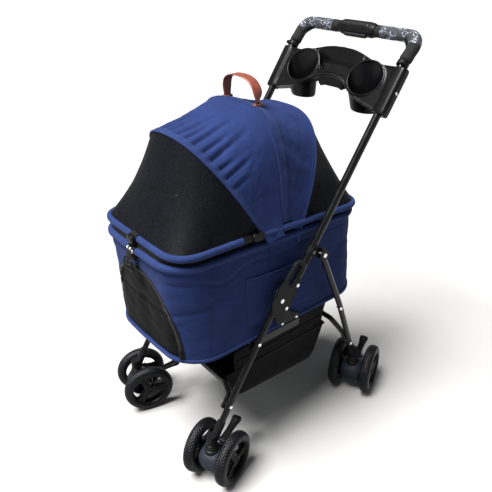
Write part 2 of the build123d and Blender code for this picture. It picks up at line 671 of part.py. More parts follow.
def bow_rod(bow, base_z):
    """Spring-steel hoop inside the canopy's sleeve."""
    edge = bow_sketch(bow, base_z, CLOTH + BOW_R + 1.6).edges().sort_by(SortBy.LENGTH)[-1]
    start = Plane(origin=edge @ 0, z_dir=edge % 0)
    return sweep(start * Circle(BOW_R), path=edge)


def canopy_bows():
    return [bow_rod(FRONT_BOW, 634), bow_rod(CENTRE_BOW, 628), bow_rod(REAR_BOW, 625)]


STRAP_HALF, STRAP_FOOT_Z, STRAP_TOP_Z, STRAP_Y, STRAP_W = 55.0, 876.0, 937.0, -34.0, 25.0


def carry_handle():
    """Leather strap that arches across the top of the canopy."""
    plane = Plane(origin=(0, STRAP_Y - STRAP_W / 2, 0), x_dir=(1, 0, 0), z_dir=(0, -1, 0))
    def arch(grow):
        points = [(STRAP_HALF + grow, STRAP_FOOT_Z), (44 + grow, 912), (0, STRAP_TOP_Z + grow),
                  (-44 - grow, 912), (-STRAP_HALF - grow, STRAP_FOOT_Z)]
        return make_face(Spline(*points) + Line(points[-1], points[0]))
    return extrude(plane * (arch(0) - arch(-3.2)), -STRAP_W)


def docking_arm(side):
    """Plate on the carrier's side wall, with an arm up beside the fold joint."""
    outline = Polygon((-78, 352), (-4, 352), (-8, 366), (-40, 384), (-62, 420), (-78, 470), (-54, 508),
                      (-37, 534), (-48, 540), (-84, 512), (-104, 500), (-108, 470), (-98, 400), align=None)
    return plate(outline, side * 173.1, side * 175.2)


def docking_pegs(side):
    """Pegs under the carrier's floor that stand just inside the frame's rail."""
    return [Pos(side * 150, y, TUB_BOTTOM_Z - 5) * Cylinder(4, 10) for y in (-64, -17)]


def latch_lower():
    """Catch block on the lower rim at the front, with its clip plate."""
    body = Pos(0, LOWER_RIM_FRONT[0] - RIM_R_TUBE - 3, 594) * Box(30, 6, 34)
    clip = Pos(0, LOWER_RIM_FRONT[0] - RIM_R_TUBE - 7.5, 584) * Box(24, 3, 30)
    return fillet(body.edges().filter_by(Axis.Y), 4) + clip


def latch_upper():
    """Hasp on the front rim that laps over the catch block."""
    body = Pos(0, UPPER_FRONT[0] - RIM_R_TUBE - 5, 630) * Box(28, 6, 20)
    lug = Pos(0, UPPER_FRONT[0] - RIM_R_TUBE, 630) * Box(12, 6, 10) - front_rim()
    return fillet(body.edges().filter_by(Axis.Y), 4) + lug


def latch_rivets():
    y = LOWER_RIM_FRONT[0] - RIM_R_TUBE - 6
    out = []
    for x, z in ((-11, 606), (0, 606), (11, 606)):
        out.append(rod((x, y, z), (x, y - 1.8, z), 3.6))
    return out


# --------------------------------------------------------------------- output
def write(name, shape):
    solids = shape if isinstance(shape, list) else [shape]
    parts = [s for item in solids for s in item.solids()]
    result = parts[0] if len(parts) == 1 else Compound(children=parts)
    result.label = name
    export_step(result, f"parts/{name}.step")


def main():
    os.makedirs("parts", exist_ok=True)
    for name, side in SIDES.items():
        write(f"front_leg_{name}", front_leg(side))
        write(f"fold_plate_{name}", fold_plate(side))
        write(f"rear_leg_{name}", rear_leg(side))
    both = SIDES.values()
    bar = bar_sweep()
    write("rear_leg_brackets", [leg_bracket(s) for s in both])
    write("handle_grips", [handle_grip(s, bar) for s in both])
    write("grip_collars", [grip_collar(s, bar) for s in both])
    write("front_leg_feet", front_legs_feet())
    write("front_cross_tube", front_cross_tube())
    write("dock_rails", [dock_rail(s) for s in both])
    write("front_frame_rivets", front_rivets() + [fold_pin(s) for s in both])
    write("basket", basket())
    write("push_bar_tube", push_bar_tube())
    write("fold_locks", [fold_lock(s) for s in both])
    write("push_bar_fasteners", push_bar_rivets() + tray_screws())
    write("trigger_housing", trigger_housing())
    write("fold_trigger", fold_trigger())
    write("parent_tray", parent_tray() - bar_sweep(radius=BAR_R + TRAY_CLEAR))
    write("rear_leg_feet", rear_feet())
    write("rear_cross_tube", rear_cross_tube())
    write("rear_frame_rivets", rear_rivets())
    half_pitch = WHEEL_PITCH / 2
    for name in CASTERS:
        place = caster_place(name)
        write(f"caster_housing_{name}", place * caster_housing())
        write(f"caster_axle_{name}", place * caster_axle())
        write(f"brake_lever_{name}", place * brake_lever())
        write(f"wheel_{name}_a", [place * s for s in wheel(-half_pitch)])
        write(f"wheel_{name}_b", [place * s for s in wheel(half_pitch)])
    tub, door = tub_shell(), door_box()
    write("carrier_tub", tub - door)
    write("front_door_mesh", tub & door)
    write("base_board", base_board())
    write("cushion", cushion())
    write("lower_rim", lower_rim())
    write("rear_rim", rear_rim())
    write("front_rim", [front_rim() + front_hinge_ends()])
    write("rim_connectors", rim_connectors())
    hood = canopy()
    write("canopy", hood)
    write("rear_mesh", rear_mesh())
    write("front_mesh", front_mesh())
    write("canopy_bows", canopy_bows())
    write("carry_handle", carry_handle() - hood)
    write("docking_arms", [p for s in both for p in [docking_arm(s), *docking_pegs(s)]])
    write("latch_lower", latch_lower())
    write("latch_upper", latch_upper())
    write("latch_rivets", latch_rivets())


main()
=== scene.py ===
import bpy
import json
import math
from mathutils import Matrix, Vector, noise


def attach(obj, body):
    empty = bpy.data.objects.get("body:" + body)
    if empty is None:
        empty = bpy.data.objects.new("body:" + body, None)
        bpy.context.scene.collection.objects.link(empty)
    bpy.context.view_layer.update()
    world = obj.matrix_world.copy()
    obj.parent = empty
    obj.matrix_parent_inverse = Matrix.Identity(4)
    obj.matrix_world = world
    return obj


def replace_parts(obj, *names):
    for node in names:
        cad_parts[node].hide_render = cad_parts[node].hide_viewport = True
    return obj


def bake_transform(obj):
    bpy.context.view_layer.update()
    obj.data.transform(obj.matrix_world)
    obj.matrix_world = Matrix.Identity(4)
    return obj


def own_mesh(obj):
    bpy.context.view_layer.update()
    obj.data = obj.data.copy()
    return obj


# Looks of the pet stroller around its CAD frame. Sizes below are in millimetres in the row frame
# (+X the pusher's left, -Y forward, Z up) and become metres when a mesh is made.
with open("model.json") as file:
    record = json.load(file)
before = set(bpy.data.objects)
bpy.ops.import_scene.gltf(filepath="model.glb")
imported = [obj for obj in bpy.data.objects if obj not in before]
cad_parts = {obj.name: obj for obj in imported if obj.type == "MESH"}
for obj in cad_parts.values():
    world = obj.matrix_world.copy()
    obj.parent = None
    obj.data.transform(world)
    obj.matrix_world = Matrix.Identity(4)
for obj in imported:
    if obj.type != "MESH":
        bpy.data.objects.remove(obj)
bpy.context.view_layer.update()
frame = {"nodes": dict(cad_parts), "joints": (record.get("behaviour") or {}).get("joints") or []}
MM = 0.001
NODES = frame["nodes"]
JOINTS = {j["name"]: j for j in frame["joints"]}
TAU = 2 * math.pi
SIDES = ((1, "left"), (-1, "right"))


# ------------------------------------------------------------------ small maths
def lerp(a, b, t):
    return a + (b - a) * t


def clamp(t):
    return max(0.0, min(1.0, t))


def ease(t):
    t = clamp(t)
    return t * t * (3 - 2 * t)


def bump_at(t, centre, width):
    """Smooth hump of height 1 around centre."""
    return math.exp(-((t - centre) / width) ** 2)


def rough(x, y, z, scale):
    """Repeatable noise, about -1 to 1, with features of the given size."""
    return noise.noise(Vector((x, y, z)) / scale)


def circle(count):
    """(cos, sin) at even steps round a circle."""
    return [(math.cos(TAU * k / count), math.sin(TAU * k / count)) for k in range(count)]


def turned(place, degrees=90, axis="Y"):
    """Matrix at a place, turned about one axis."""
    return Matrix.Translation(place) @ Matrix.Rotation(math.radians(degrees), 4, axis)


def joint_place(name):
    return Vector(JOINTS[name]["pos_m"]) / MM


# ------------------------------------------------------------------ mesh making
def make_piece(name, verts, faces, body, material):
    mesh = bpy.data.meshes.new(name)
    mesh.from_pydata([Vector(v) * MM for v in verts], [], faces)
    mesh.validate()
    mesh.shade_smooth()
    piece = bpy.data.objects.new(name, mesh)
    bpy.context.scene.collection.objects.link(piece)
    piece.data.materials.append(material)
    if body:
        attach(piece, body)
    return piece


def grid_faces(rows, columns, wrap_rows=False, wrap_columns=False):
    faces = []
    for i in range(rows if wrap_rows else rows - 1):
        here, ahead = i * columns, (i + 1) % rows * columns
        for j in range(columns if wrap_columns else columns - 1):
            k = (j + 1) % columns
            faces.append((here + j, here + k, ahead + k, ahead + j))
    return faces


class Shape:
    """Collects vertices and faces of one piece."""

    def __init__(self):
        self.verts, self.faces = [], []

    def add(self, verts, faces):
        base = len(self.verts)
        self.verts += [tuple(v) for v in verts]
        self.faces += [tuple(base + i for i in f) for f in faces]

    def grid(self, rows, wrap_rows=False, wrap_columns=False):
        """rows is a list of equally long point lists."""
        columns = len(rows[0])
        self.add([p for row in rows for p in row],
                 grid_faces(len(rows), columns, wrap_rows, wrap_columns))

    def loft(self, loops):
        """Closed loops joined in order, with both ends capped."""
        count = len(loops[0])
        faces = grid_faces(len(loops), count, wrap_columns=True)
        last = (len(loops) - 1) * count
        faces.append(tuple(reversed(range(count))))
        faces.append(tuple(last + k for k in range(count)))
        self.add([p for loop in loops for p in loop], faces)

    def tube(self, path, radius, sides=16, closed=False):
        """Round tube along a path of points; radius is a number or a function of the index."""
        rings = tube_rings(path, radius, sides, closed)
        if closed:
            self.grid(rings, wrap_rows=True, wrap_columns=True)
        else:
            self.loft(rings)

    def lathe(self, profile, place, segments=64):
        """Profile (along, radius) turned about local Z, placed by a matrix; an open profile."""
        rows = [[place @ Vector((r * c, r * s, a)) for a, r in profile]
                for c, s in circle(segments)]
        self.grid(rows, wrap_rows=True)

    def piece(self, name, body, material, slot=None):
        """Makes the piece; a slot is looked up for one that rides a body but not passed on."""
        if body and slot is None:
            slot = SLOTS[material.name]
        return make_piece(name, self.verts, self.faces, body, material)


def tube_rings(path, radius, sides, closed=False):
    path = [Vector(p) for p in path]
    count = len(path)
    rings, normal = [], None
    for i, point in enumerate(path):
        ahead = path[(i + 1) % count] if closed or i + 1 < count else point
        behind = path[i - 1] if closed or i > 0 else point
        tangent = (ahead - behind).normalized()
        if normal is None:
            helper = Vector((0, 0, 1)) if abs(tangent.z) < 0.9 else Vector((1, 0, 0))
            normal = tangent.cross(helper).normalized()
        normal = (normal - tangent * normal.dot(tangent)).normalized()
        side = tangent.cross(normal)
        r = radius(i / max(count - 1, 1)) if callable(radius) else radius
        rings.append([point + (normal * c + side * s) * r for c, s in circle(sides)])
    return rings


def rounded_path(points, bend, step=6.0):
    """Path through the points whose inner corners are arcs of the given radius."""
    points = [Vector(p) for p in points]
    out = [points[0]]
    for before, corner, after in zip(points, points[1:], points[2:]):
        a, b = (before - corner).normalized(), (after - corner).normalized()
        half = a.angle(b) / 2
        cut = min(bend / math.tan(half), (before - corner).length * 0.49,
                  (after - corner).length * 0.49)
        start, end = corner + a * cut, corner + b * cut
        turns = max(4, int((math.pi - 2 * half) * bend / step))
        for k in range(turns + 1):
            t = k / turns
            out.append(start.lerp(corner, t).lerp(corner.lerp(end, t), t))
    out.append(points[-1])
    return resample(out, step)


def resample(points, step):
    """Evenly spaced points along a polyline."""
    points = [Vector(p) for p in points]
    lengths = [0.0]
    for a, b in zip(points, points[1:]):
        lengths.append(lengths[-1] + (b - a).length)
    count = max(2, int(lengths[-1] / step) + 1)
    out, k = [], 0
    for i in range(count):
        want = lengths[-1] * i / (count - 1)
        while k < len(lengths) - 2 and lengths[k + 1] < want:
            k += 1
        span = lengths[k + 1] - lengths[k]
        out.append(points[k].lerp(points[k + 1], (want - lengths[k]) / span if span else 0))
    return out


def modify(piece, kind, **settings):
    modifier = piece.modifiers.new(kind.title(), kind)
    for key, value in settings.items():
        setattr(modifier, key, value)
    return piece


def solidify(piece, thickness, offset=0.0):
    return modify(piece, "SOLIDIFY", thickness=thickness * MM, offset=offset)


def subdivide(piece, levels=1):
    return modify(piece, "SUBSURF", levels=levels, render_levels=levels)


def superellipse(half_w, half_h, power, count):
    """Closed loop of (x, y) points."""
    return [(math.copysign(abs(c) ** (2 / power), c) * half_w,
             math.copysign(abs(s) ** (2 / power), s) * half_h) for c, s in circle(count)]


# -------------------------------------------------------------------- materials
class Nodes:
    """Short way to wire a material's nodes."""

    def __init__(self, name):
        self.material = bpy.data.materials.new(name)
        self.material.use_nodes = True
        self.tree = self.material.node_tree
        self.shader = self.tree.nodes["Principled BSDF"]
        self.coords = self.make("ShaderNodeTexCoord").outputs["Object"]

    def make(self, kind, **settings):
        node = self.tree.nodes.new(kind)
        for key, value in settings.items():
            if key in node.inputs.keys():
                node.inputs[key].default_value = value
            else:
                setattr(node, key, value)
        return node

    def link(self, output, socket):
        self.tree.links.new(output, socket)
        return socket.node

    def noise(self, scale, detail=4.0, roughness=0.55, stretch=None):
        node = self.make("ShaderNodeTexNoise")
        node.inputs["Scale"].default_value = scale
        node.inputs["Detail"].default_value = detail
        node.inputs["Roughness"].default_value = roughness
        self.link(self.mapped(stretch), node.inputs["Vector"])
        return node.outputs["Fac"]

    def mapped(self, stretch):
        if stretch is None:
            return self.coords
        mapping = self.make("ShaderNodeMapping")
        mapping.inputs["Scale"].default_value = stretch
        self.link(self.coords, mapping.inputs["Vector"])
        return mapping.outputs["Vector"]

    def wave(self, scale, direction):
        node = self.make("ShaderNodeTexWave", wave_type="BANDS", bands_direction=direction)
        node.inputs["Scale"].default_value = scale
        node.inputs["Distortion"].default_value = 0.0
        self.link(self.coords, node.inputs["Vector"])
        return node.outputs["Fac"]

    def voronoi(self, scale, feature="F1", stretch=None):
        node = self.make("ShaderNodeTexVoronoi", feature=feature)
        node.inputs["Scale"].default_value = scale
        self.link(self.mapped(stretch), node.inputs["Vector"])
        return node.outputs["Distance"]

    def math(self, operation, a, b=0.0, c=0.0):
        node = self.make("ShaderNodeMath", operation=operation)
        for socket, value in zip(node.inputs, (a, b, c)):
            if isinstance(value, (int, float)):
                socket.default_value = value
            else:
                self.link(value, socket)
        return node.outputs["Value"]

    def ramp(self, value, stops):
        node = self.make("ShaderNodeValToRGB")
        ramp = node.color_ramp
        while len(ramp.elements) < len(stops):
            ramp.elements.new(0.5)
        for element, (place, colour) in zip(ramp.elements, stops):
            element.position = place
            element.color = (*colour, 1.0)
        self.link(value, node.inputs["Fac"])
        return node.outputs["Color"]

    def level(self, value, low, high):
        """Rescales a 0 to 1 value."""
        return self.math("MULTIPLY_ADD", value, high - low, low)

    def bump(self, height, distance, strength=1.0, base=None):
        node = self.make("ShaderNodeBump")
        node.inputs["Strength"].default_value = strength
        node.inputs["Distance"].default_value = distance
        self.link(height, node.inputs["Height"])
        if base is not None:
            self.link(base, node.inputs["Normal"])
        return node.outputs["Normal"]

    def set(self, **inputs):
        for key, value in inputs.items():
            socket = self.shader.inputs[key.replace("_", " ")]
            if isinstance(value, (int, float, tuple)):
                socket.default_value = value
            else:
                self.link(value, socket)
        return self


def woven_cloth(name, dark, light, thread=0.9, sheen=0.35, sheen_tint=(1, 1, 1, 1), roughness=0.85):
    """Plain-weave cloth: two crossed thread waves, slubs, soft colour drift and a dusty sheen."""
    n = Nodes(name)
    pitch = TAU / (thread * MM) / 20
    across = n.math("MAXIMUM", n.wave(pitch, "X"), n.wave(pitch, "Y"))
    weave = n.math("MULTIPLY", n.math("ADD", across, n.wave(pitch, "Z")), 0.5)
    slub = n.noise(240, 3, stretch=(1, 1, 4))
    drift = n.noise(9, 5)
    mixed = n.math("MULTIPLY_ADD", weave, 0.22,
                   n.math("MULTIPLY_ADD", slub, 0.22, n.math("MULTIPLY", drift, 0.7)))
    n.set(Base_Color=n.ramp(mixed, [(0.25, dark), (0.8, light)]))
    n.set(Roughness=n.level(slub, roughness - 0.08, roughness + 0.08))
    fine = n.bump(weave, 0.00025, 0.6)
    n.set(Normal=n.bump(n.noise(60, 5), 0.0006, 0.35, fine))
    n.set(Sheen_Weight=sheen, Sheen_Roughness=0.45, Sheen_Tint=sheen_tint, Specular_IOR_Level=0.1)
    return n.material


def net(name, colour, hole=2.6, cover=0.5, roughness=0.6):
    """Knitted net round close-set, partly open holes: the paler threads are painted glints and the
    dark fill of the holes is painted shade of the inside seen through them.
    """
    n = Nodes(name)
    cells = n.voronoi(1 / (hole * MM), stretch=(1.0, 1.0, 0.8))
    drift = n.math("MULTIPLY", cells, n.level(n.noise(30, 4), 0.5, 1.5))
    # Painted light: the thread colour at the cell edges is a painted glint, and the darkened hole
    # centres are painted shade.
    n.set(Base_Color=n.ramp(drift, [(0.22, tuple(c * 0.12 for c in colour)), (0.62, colour)]))
    # The holes stay partly opaque, so their dark fill shows as painted shade.
    n.set(Alpha=n.level(n.math("GREATER_THAN", cells, 0.36), cover, 1.0))
    n.set(Roughness=roughness, Specular_IOR_Level=0.06)
    n.set(Normal=n.bump(cells, 0.0004, 0.7))
    return n.material


def moulded(name, dark, light, roughness=0.42, grain=900, coat=0.0):
    """Moulded plastic with fine spark-eroded grain and dull handling marks."""
    n = Nodes(name)
    marks = n.noise(22, 6, 0.7)
    fine = n.noise(grain, 2)
    n.set(Base_Color=n.ramp(marks, [(0.3, dark), (0.75, light)]))
    n.set(Roughness=n.level(n.math("MULTIPLY_ADD", fine, 0.4, n.math("MULTIPLY", marks, 0.6)),
                            roughness - 0.1, roughness + 0.12))
    n.set(Normal=n.bump(fine, 0.00012, 0.5), Coat_Weight=coat, Coat_Roughness=0.25,
          Specular_IOR_Level=0.11)
    return n.material


def powder_coat(name, dark, light):
    """Black painted tube: orange-peel gloss with faint dust."""
    n = Nodes(name)
    peel = n.noise(420, 2)
    dust = n.noise(35, 6, 0.7)
    n.set(Base_Color=n.ramp(dust, [(0.35, dark), (0.8, light)]))
    n.set(Roughness=n.level(dust, 0.2, 0.38), Normal=n.bump(peel, 0.00012, 0.35))
    n.set(Coat_Weight=0.12, Coat_Roughness=0.12, Specular_IOR_Level=0.2)
    return n.material


def metal(name, colour, roughness=0.22, brushed=None):
    n = Nodes(name)
    marks = n.noise(300, 4, stretch=brushed)
    n.set(Base_Color=n.ramp(marks, [(0.3, tuple(c * 0.75 for c in colour)), (0.7, colour)]))
    n.set(Metallic=1.0, Roughness=n.level(marks, roughness, roughness + 0.2))
    n.set(Normal=n.bump(marks, 0.00008, 0.4))
    return n.material


def leather(name, dark, light):
    """Vegetable-tanned strap: pebbled grain, creases and burnished patches."""
    n = Nodes(name)
    cells = n.voronoi(900, "DISTANCE_TO_EDGE")
    creases = n.noise(160, 6, 0.7, stretch=(1, 1, 3))
    patches = n.noise(45, 4)
    n.set(Base_Color=n.ramp(n.math("MULTIPLY_ADD", creases, 0.4, n.math("MULTIPLY", patches, 0.6)),
                            [(0.3, dark), (0.7, light)]))
    n.set(Roughness=n.level(creases, 0.36, 0.6))
    n.set(Normal=n.bump(creases, 0.0004, 0.5, n.bump(cells, 0.0002, 0.6)), Specular_IOR_Level=0.5)
    return n.material


def foam(name):
    n = Nodes(name)
    cells = n.voronoi(1500)
    n.set(Base_Color=n.ramp(n.noise(60, 5),
                            [(0.3, (0.0016, 0.0016, 0.002)), (0.75, (0.006, 0.006, 0.007))]))
    n.set(Roughness=n.level(cells, 0.75, 0.95), Normal=n.bump(cells, 0.0004, 0.8),
          Specular_IOR_Level=0.3)
    return n.material


def clear_film(name):
    """Thin crinkled packing film: mostly clear and glossy, with painted glints: pale, near-opaque
    streaks along its fold ridges.
    """
    n = Nodes(name)
    folds = n.noise(48, 3, 0.5, stretch=(1, 1.6, 0.8))
    ridge = n.math("ABSOLUTE", n.math("SUBTRACT", folds, 0.5))
    n.set(Base_Color=(0.45, 0.5, 0.6, 1.0), Roughness=0.1)
    # Painted highlight: the near-opaque fold ridges show the pale base colour as white glint
    # streaks.
    n.set(Alpha=n.ramp(ridge, [(0.0, (0.8, 0.8, 0.8)), (0.016, (0.06, 0.06, 0.06))]))
    n.set(Normal=n.bump(folds, 0.006, 1.0), Specular_IOR_Level=0.9)
    return n.material


def rubber(name):
    n = Nodes(name)
    dust = n.noise(40, 6, 0.75)
    fine = n.noise(700, 2)
    n.set(Base_Color=n.ramp(dust, [(0.3, (0.0012, 0.0012, 0.002)), (0.8, (0.0055, 0.006, 0.008))]))
    n.set(Roughness=n.level(fine, 0.24, 0.42), Specular_IOR_Level=0.14,
          Normal=n.bump(fine, 0.00015, 0.6))
    return n.material


NAVY = woven_cloth("navy_cloth", (0.0047, 0.0098, 0.04), (0.0118, 0.0235, 0.09), sheen=0.04,
                   sheen_tint=(0.5, 0.6, 1, 1))
NAVY_PIPING = woven_cloth("navy_piping", (0.0062, 0.012, 0.045), (0.0155, 0.029, 0.102),
                          thread=0.6, sheen=0.06, sheen_tint=(0.5, 0.6, 1, 1))
NAVY_LIGHT = woven_cloth("navy_thread", (0.01, 0.018, 0.062), (0.022, 0.037, 0.125),
                         thread=0.3, sheen=0.03)
BLACK_CLOTH = woven_cloth("black_cloth", (0.0012, 0.0012, 0.0015),
                          (0.005, 0.005, 0.006), sheen=0.02)
BLACK_WEBBING = woven_cloth("black_webbing", (0.0015, 0.0015, 0.002), (0.008, 0.008, 0.009),
                            thread=1.6, sheen=0.03)
GREY_PAD = woven_cloth("pad_cloth", (0.05, 0.05, 0.06), (0.12, 0.12, 0.14), sheen=0.3)
# Both nets carry painted glints on their threads and painted shade in their holes.
NET = net("black_net", (0.0034, 0.0042, 0.0065), hole=2.3, cover=0.86)
DOOR_NET = net("door_net", (0.0016, 0.0018, 0.0025), hole=2.3, cover=0.97)
PLASTIC = moulded("black_plastic", (0.0018, 0.0018, 0.0022), (0.007, 0.007, 0.008), 0.4)
GLOSS_PLASTIC = moulded("tray_plastic", (0.0012, 0.0012, 0.0015), (0.0035, 0.0035, 0.004),
                        0.34, coat=0.06)
GREY_PLASTIC = moulded("caster_plastic", (0.007, 0.0085, 0.013), (0.017, 0.02, 0.029), 0.4)
PAINT = powder_coat("painted_tube", (0.0012, 0.0012, 0.0015), (0.004, 0.004, 0.005))
BRIGHT = metal("rivet_steel", (0.86, 0.87, 0.9))
STEEL = metal("axle_steel", (0.5, 0.5, 0.52), 0.3, brushed=(8, 1, 1))
TAN = leather("tan_leather", (0.07, 0.015, 0.0075), (0.19, 0.043, 0.024))
TAN_EDGE = leather("leather_edge", (0.05, 0.014, 0.006), (0.14, 0.04, 0.015))
FOAM = foam("grip_foam")
# Clear film with painted glint streaks on its folds.
FILM = clear_film("clear_film")
TYRE = rubber("tyre_rubber")
PLASTIC_GREY = moulded("switch_plastic", (0.006, 0.0065, 0.0075), (0.014, 0.015, 0.018), 0.45)
STEEL_DARK = metal("zip_metal", (0.07, 0.07, 0.075), 0.4)
BOARD = moulded("floor_board", (0.16, 0.12, 0.08), (0.3, 0.24, 0.17), 0.7)
SLOT_MATERIALS = {
    "navy_fabric": (NAVY, NAVY_PIPING, NAVY_LIGHT, GREY_PAD),
    "basket_fabric": (BLACK_CLOTH, BLACK_WEBBING),
    "black_mesh": (NET, DOOR_NET, STEEL_DARK),
    "black_plastic": (PLASTIC, PLASTIC_GREY, GLOSS_PLASTIC),
    "caster_plastic": (GREY_PLASTIC,),
    "rivet_steel": (BRIGHT, STEEL),
    "tan_leather": (TAN, TAN_EDGE),
    "foam_grip": (FOAM, FILM),
    "tyre": (TYRE,),
}
SLOTS = {material.name: slot for slot, materials in SLOT_MATERIALS.items()
         for material in materials}


def finish_cad(material, *names):
    for name in names:
        node = NODES[name]
        node.data.materials.clear()
        node.data.materials.append(material)
        node.data.shade_smooth()
        modify(node, "EDGE_SPLIT", split_angle=math.radians(32))


# --------------------------------------------------------- stage, light, camera
FLOOR_HALF, FLOOR_GREY = 60000, (0.29, 0.30)
WORLD_COLOUR, WORLD_STRENGTH = (0.95, 0.97, 1.0, 1.0), 0.25
SUN_POWER, SUN_SPREAD, SUN_COLOUR, SUN_WAY = 12.4, 30, (1.0, 0.985, 0.96), (0.1, 0.42, -1.0)
FILL_PLACE, FILL_TARGET, FILL_SIZE, FILL_POWER = (-0.4, -2.6, 1.9), (0, 0, 0.5), 1.2, 14
CAMERA_PLACE = Vector((1.0467, -0.8579, 1.2321))
CAMERA_AZIMUTH, CAMERA_ELEVATION, CAMERA_ROLL = 51.803, 29.017, -1.581
CAMERA_LENS, SENSOR = 42.9, 36.0


def make_camera():
    data = bpy.data.cameras.new("camera")
    data.lens, data.sensor_width = CAMERA_LENS, SENSOR
    a, e, r = (math.radians(x) for x in (CAMERA_AZIMUTH, CAMERA_ELEVATION, CAMERA_ROLL))
    back = Vector((math.sin(a) * math.cos(e), -math.cos(a) * math.cos(e), math.sin(e)))
    right = Vector((math.cos(a), math.sin(a), 0))
    up = back.cross(right)
    across = right * math.cos(r) + up * math.sin(r)
    risen = up * math.cos(r) - right * math.sin(r)
    matrix = Matrix((across, risen, back)).transposed().to_4x4()
    matrix.translation = CAMERA_PLACE
    camera = bpy.data.objects.new("camera", data)
    bpy.context.scene.collection.objects.link(camera)
    camera.matrix_world = matrix
    bpy.context.scene.camera = camera


def add_light(name, kind, way, power):
    data = bpy.data.lights.new(name, kind)
    data.energy = power
    light = bpy.data.objects.new(name, data)
    bpy.context.scene.collection.objects.link(light)
    light.rotation_mode = "QUATERNION"
    light.rotation_quaternion = Vector(way).to_track_quat("-Z", "Y")
    return light


def make_stage():
    """Grey floor that the strong sun lights to near white, a dim world and a white backdrop."""
    n = Nodes("floor")
    dark, light = FLOOR_GREY
    n.set(Base_Color=n.ramp(n.noise(3, 3), [(0.3, (dark,) * 3), (0.7, (light,) * 3)]),
          Roughness=0.9, Specular_IOR_Level=0.0)
    h = FLOOR_HALF
    corners = [(-h, -h, 0), (h, -h, 0), (h, h, 0), (-h, h, 0)]
    make_piece("floor", corners, [(0, 1, 2, 3)], None, n.material)
    world = bpy.data.worlds.new("world")
    bpy.context.scene.world = world
    world.use_nodes = True
    nodes, link = world.node_tree.nodes, world.node_tree.links.new
    background, backdrop = nodes["Background"], nodes.new("ShaderNodeBackground")
    background.inputs["Color"].default_value = WORLD_COLOUR
    background.inputs["Strength"].default_value = WORLD_STRENGTH
    backdrop.inputs["Color"].default_value = (1.0, 1.0, 1.0, 1.0)
    seen, mix = nodes.new("ShaderNodeLightPath"), nodes.new("ShaderNodeMixShader")
    link(seen.outputs["Is Camera Ray"], mix.inputs["Fac"])
    link(background.outputs["Background"], mix.inputs[1])
    link(backdrop.outputs["Background"], mix.inputs[2])
    link(mix.outputs["Shader"], nodes["World Output"].inputs["Surface"])
    sun = add_light("sun", "SUN", SUN_WAY, SUN_POWER).data
    sun.angle, sun.color = math.radians(SUN_SPREAD), SUN_COLOUR
    fill = add_light("fill", "AREA", Vector(FILL_TARGET) - Vector(FILL_PLACE), FILL_POWER)
    fill.location = FILL_PLACE
    fill.data.shape, fill.data.size = "DISK", FILL_SIZE
    bpy.context.scene.view_settings.view_transform = "Standard"


# ---------------------------------------------------------------------- casters
CASTERS = ("front_left", "front_right", "rear_left", "rear_right")
WHEEL_R, WHEEL_W, WHEEL_HALF_PITCH, TRAIL = 70.0, 30.0, 46.0, 20.0
RIM_R, HUB_R, TREAD_HALF = 53.0, 13.0, 13.5
LEVER_PIVOT, LEVER_RISE = (47.0, 82.0), 8.0
TREAD_DIAMONDS, TREAD_SLANT, TREAD_DEPTH = 50, 0.66, 1.2
SPOKES, SPOKE_TURN = 3, 0.35
DRUM_HALF, DRUM_Y, DRUM_Z, DRUM_EDGE_R, DRUM_SWELL, DRUM_RIBS = 28.3, 6.0, 66.0, 13.0, 22.3, 44


def caster_matrix(name):
    """Caster's own frame: origin on the floor under its swivel, local Y towards its trail."""
    place = joint_place(f"swivel_{name}")
    axis = JOINTS[f"spin_{name}_a"]["axis"]
    return (Matrix.Translation((place.x, place.y, 0))
            @ Matrix.Rotation(math.atan2(axis[1], axis[0]), 4, "Z"))


def in_metres(matrix):
    out = matrix.copy()
    out.translation = out.translation * MM
    return out


def share_mesh(name, mesh, matrix, body):
    piece = bpy.data.objects.new(name, mesh)
    bpy.context.scene.collection.objects.link(piece)
    piece.matrix_world = in_metres(matrix)
    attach(piece, body)
    return piece


def tyre_mesh():
    """Foam tyre: round shoulders and a fine diamond tread cut into its running band."""
    shape = Shape()
    around, across = 600, 36
    rows = []
    for i in range(around):
        angle = TAU * i / around
        row = []
        for j in range(across + 1):
            turn = math.pi * (j / across)
            x = -math.cos(turn)
            profile = abs(math.sin(turn)) ** 0.62
            r = RIM_R - 1.0 + (WHEEL_R - RIM_R + 1.0) * profile
            x *= WHEEL_W / 2
            band = 1 - ease((abs(x) - TREAD_HALF + 2) / 4)
            grooves = [math.cos(angle * TREAD_DIAMONDS + sign * x * TREAD_SLANT)
                       for sign in (1, -1)]
            r -= TREAD_DEPTH * max(ease((g - 0.45) / 0.45) for g in grooves) * band
            row.append((x, r * math.cos(angle), r * math.sin(angle)))
        rows.append(row)
    shape.grid(rows, wrap_rows=True)
    inner = [[(end * WHEEL_W / 2, (RIM_R - 1) * c, (RIM_R - 1) * s) for end in (-1, 1)]
             for c, s in circle(around)]
    shape.grid(list(reversed(inner)), wrap_rows=True)
    return shape


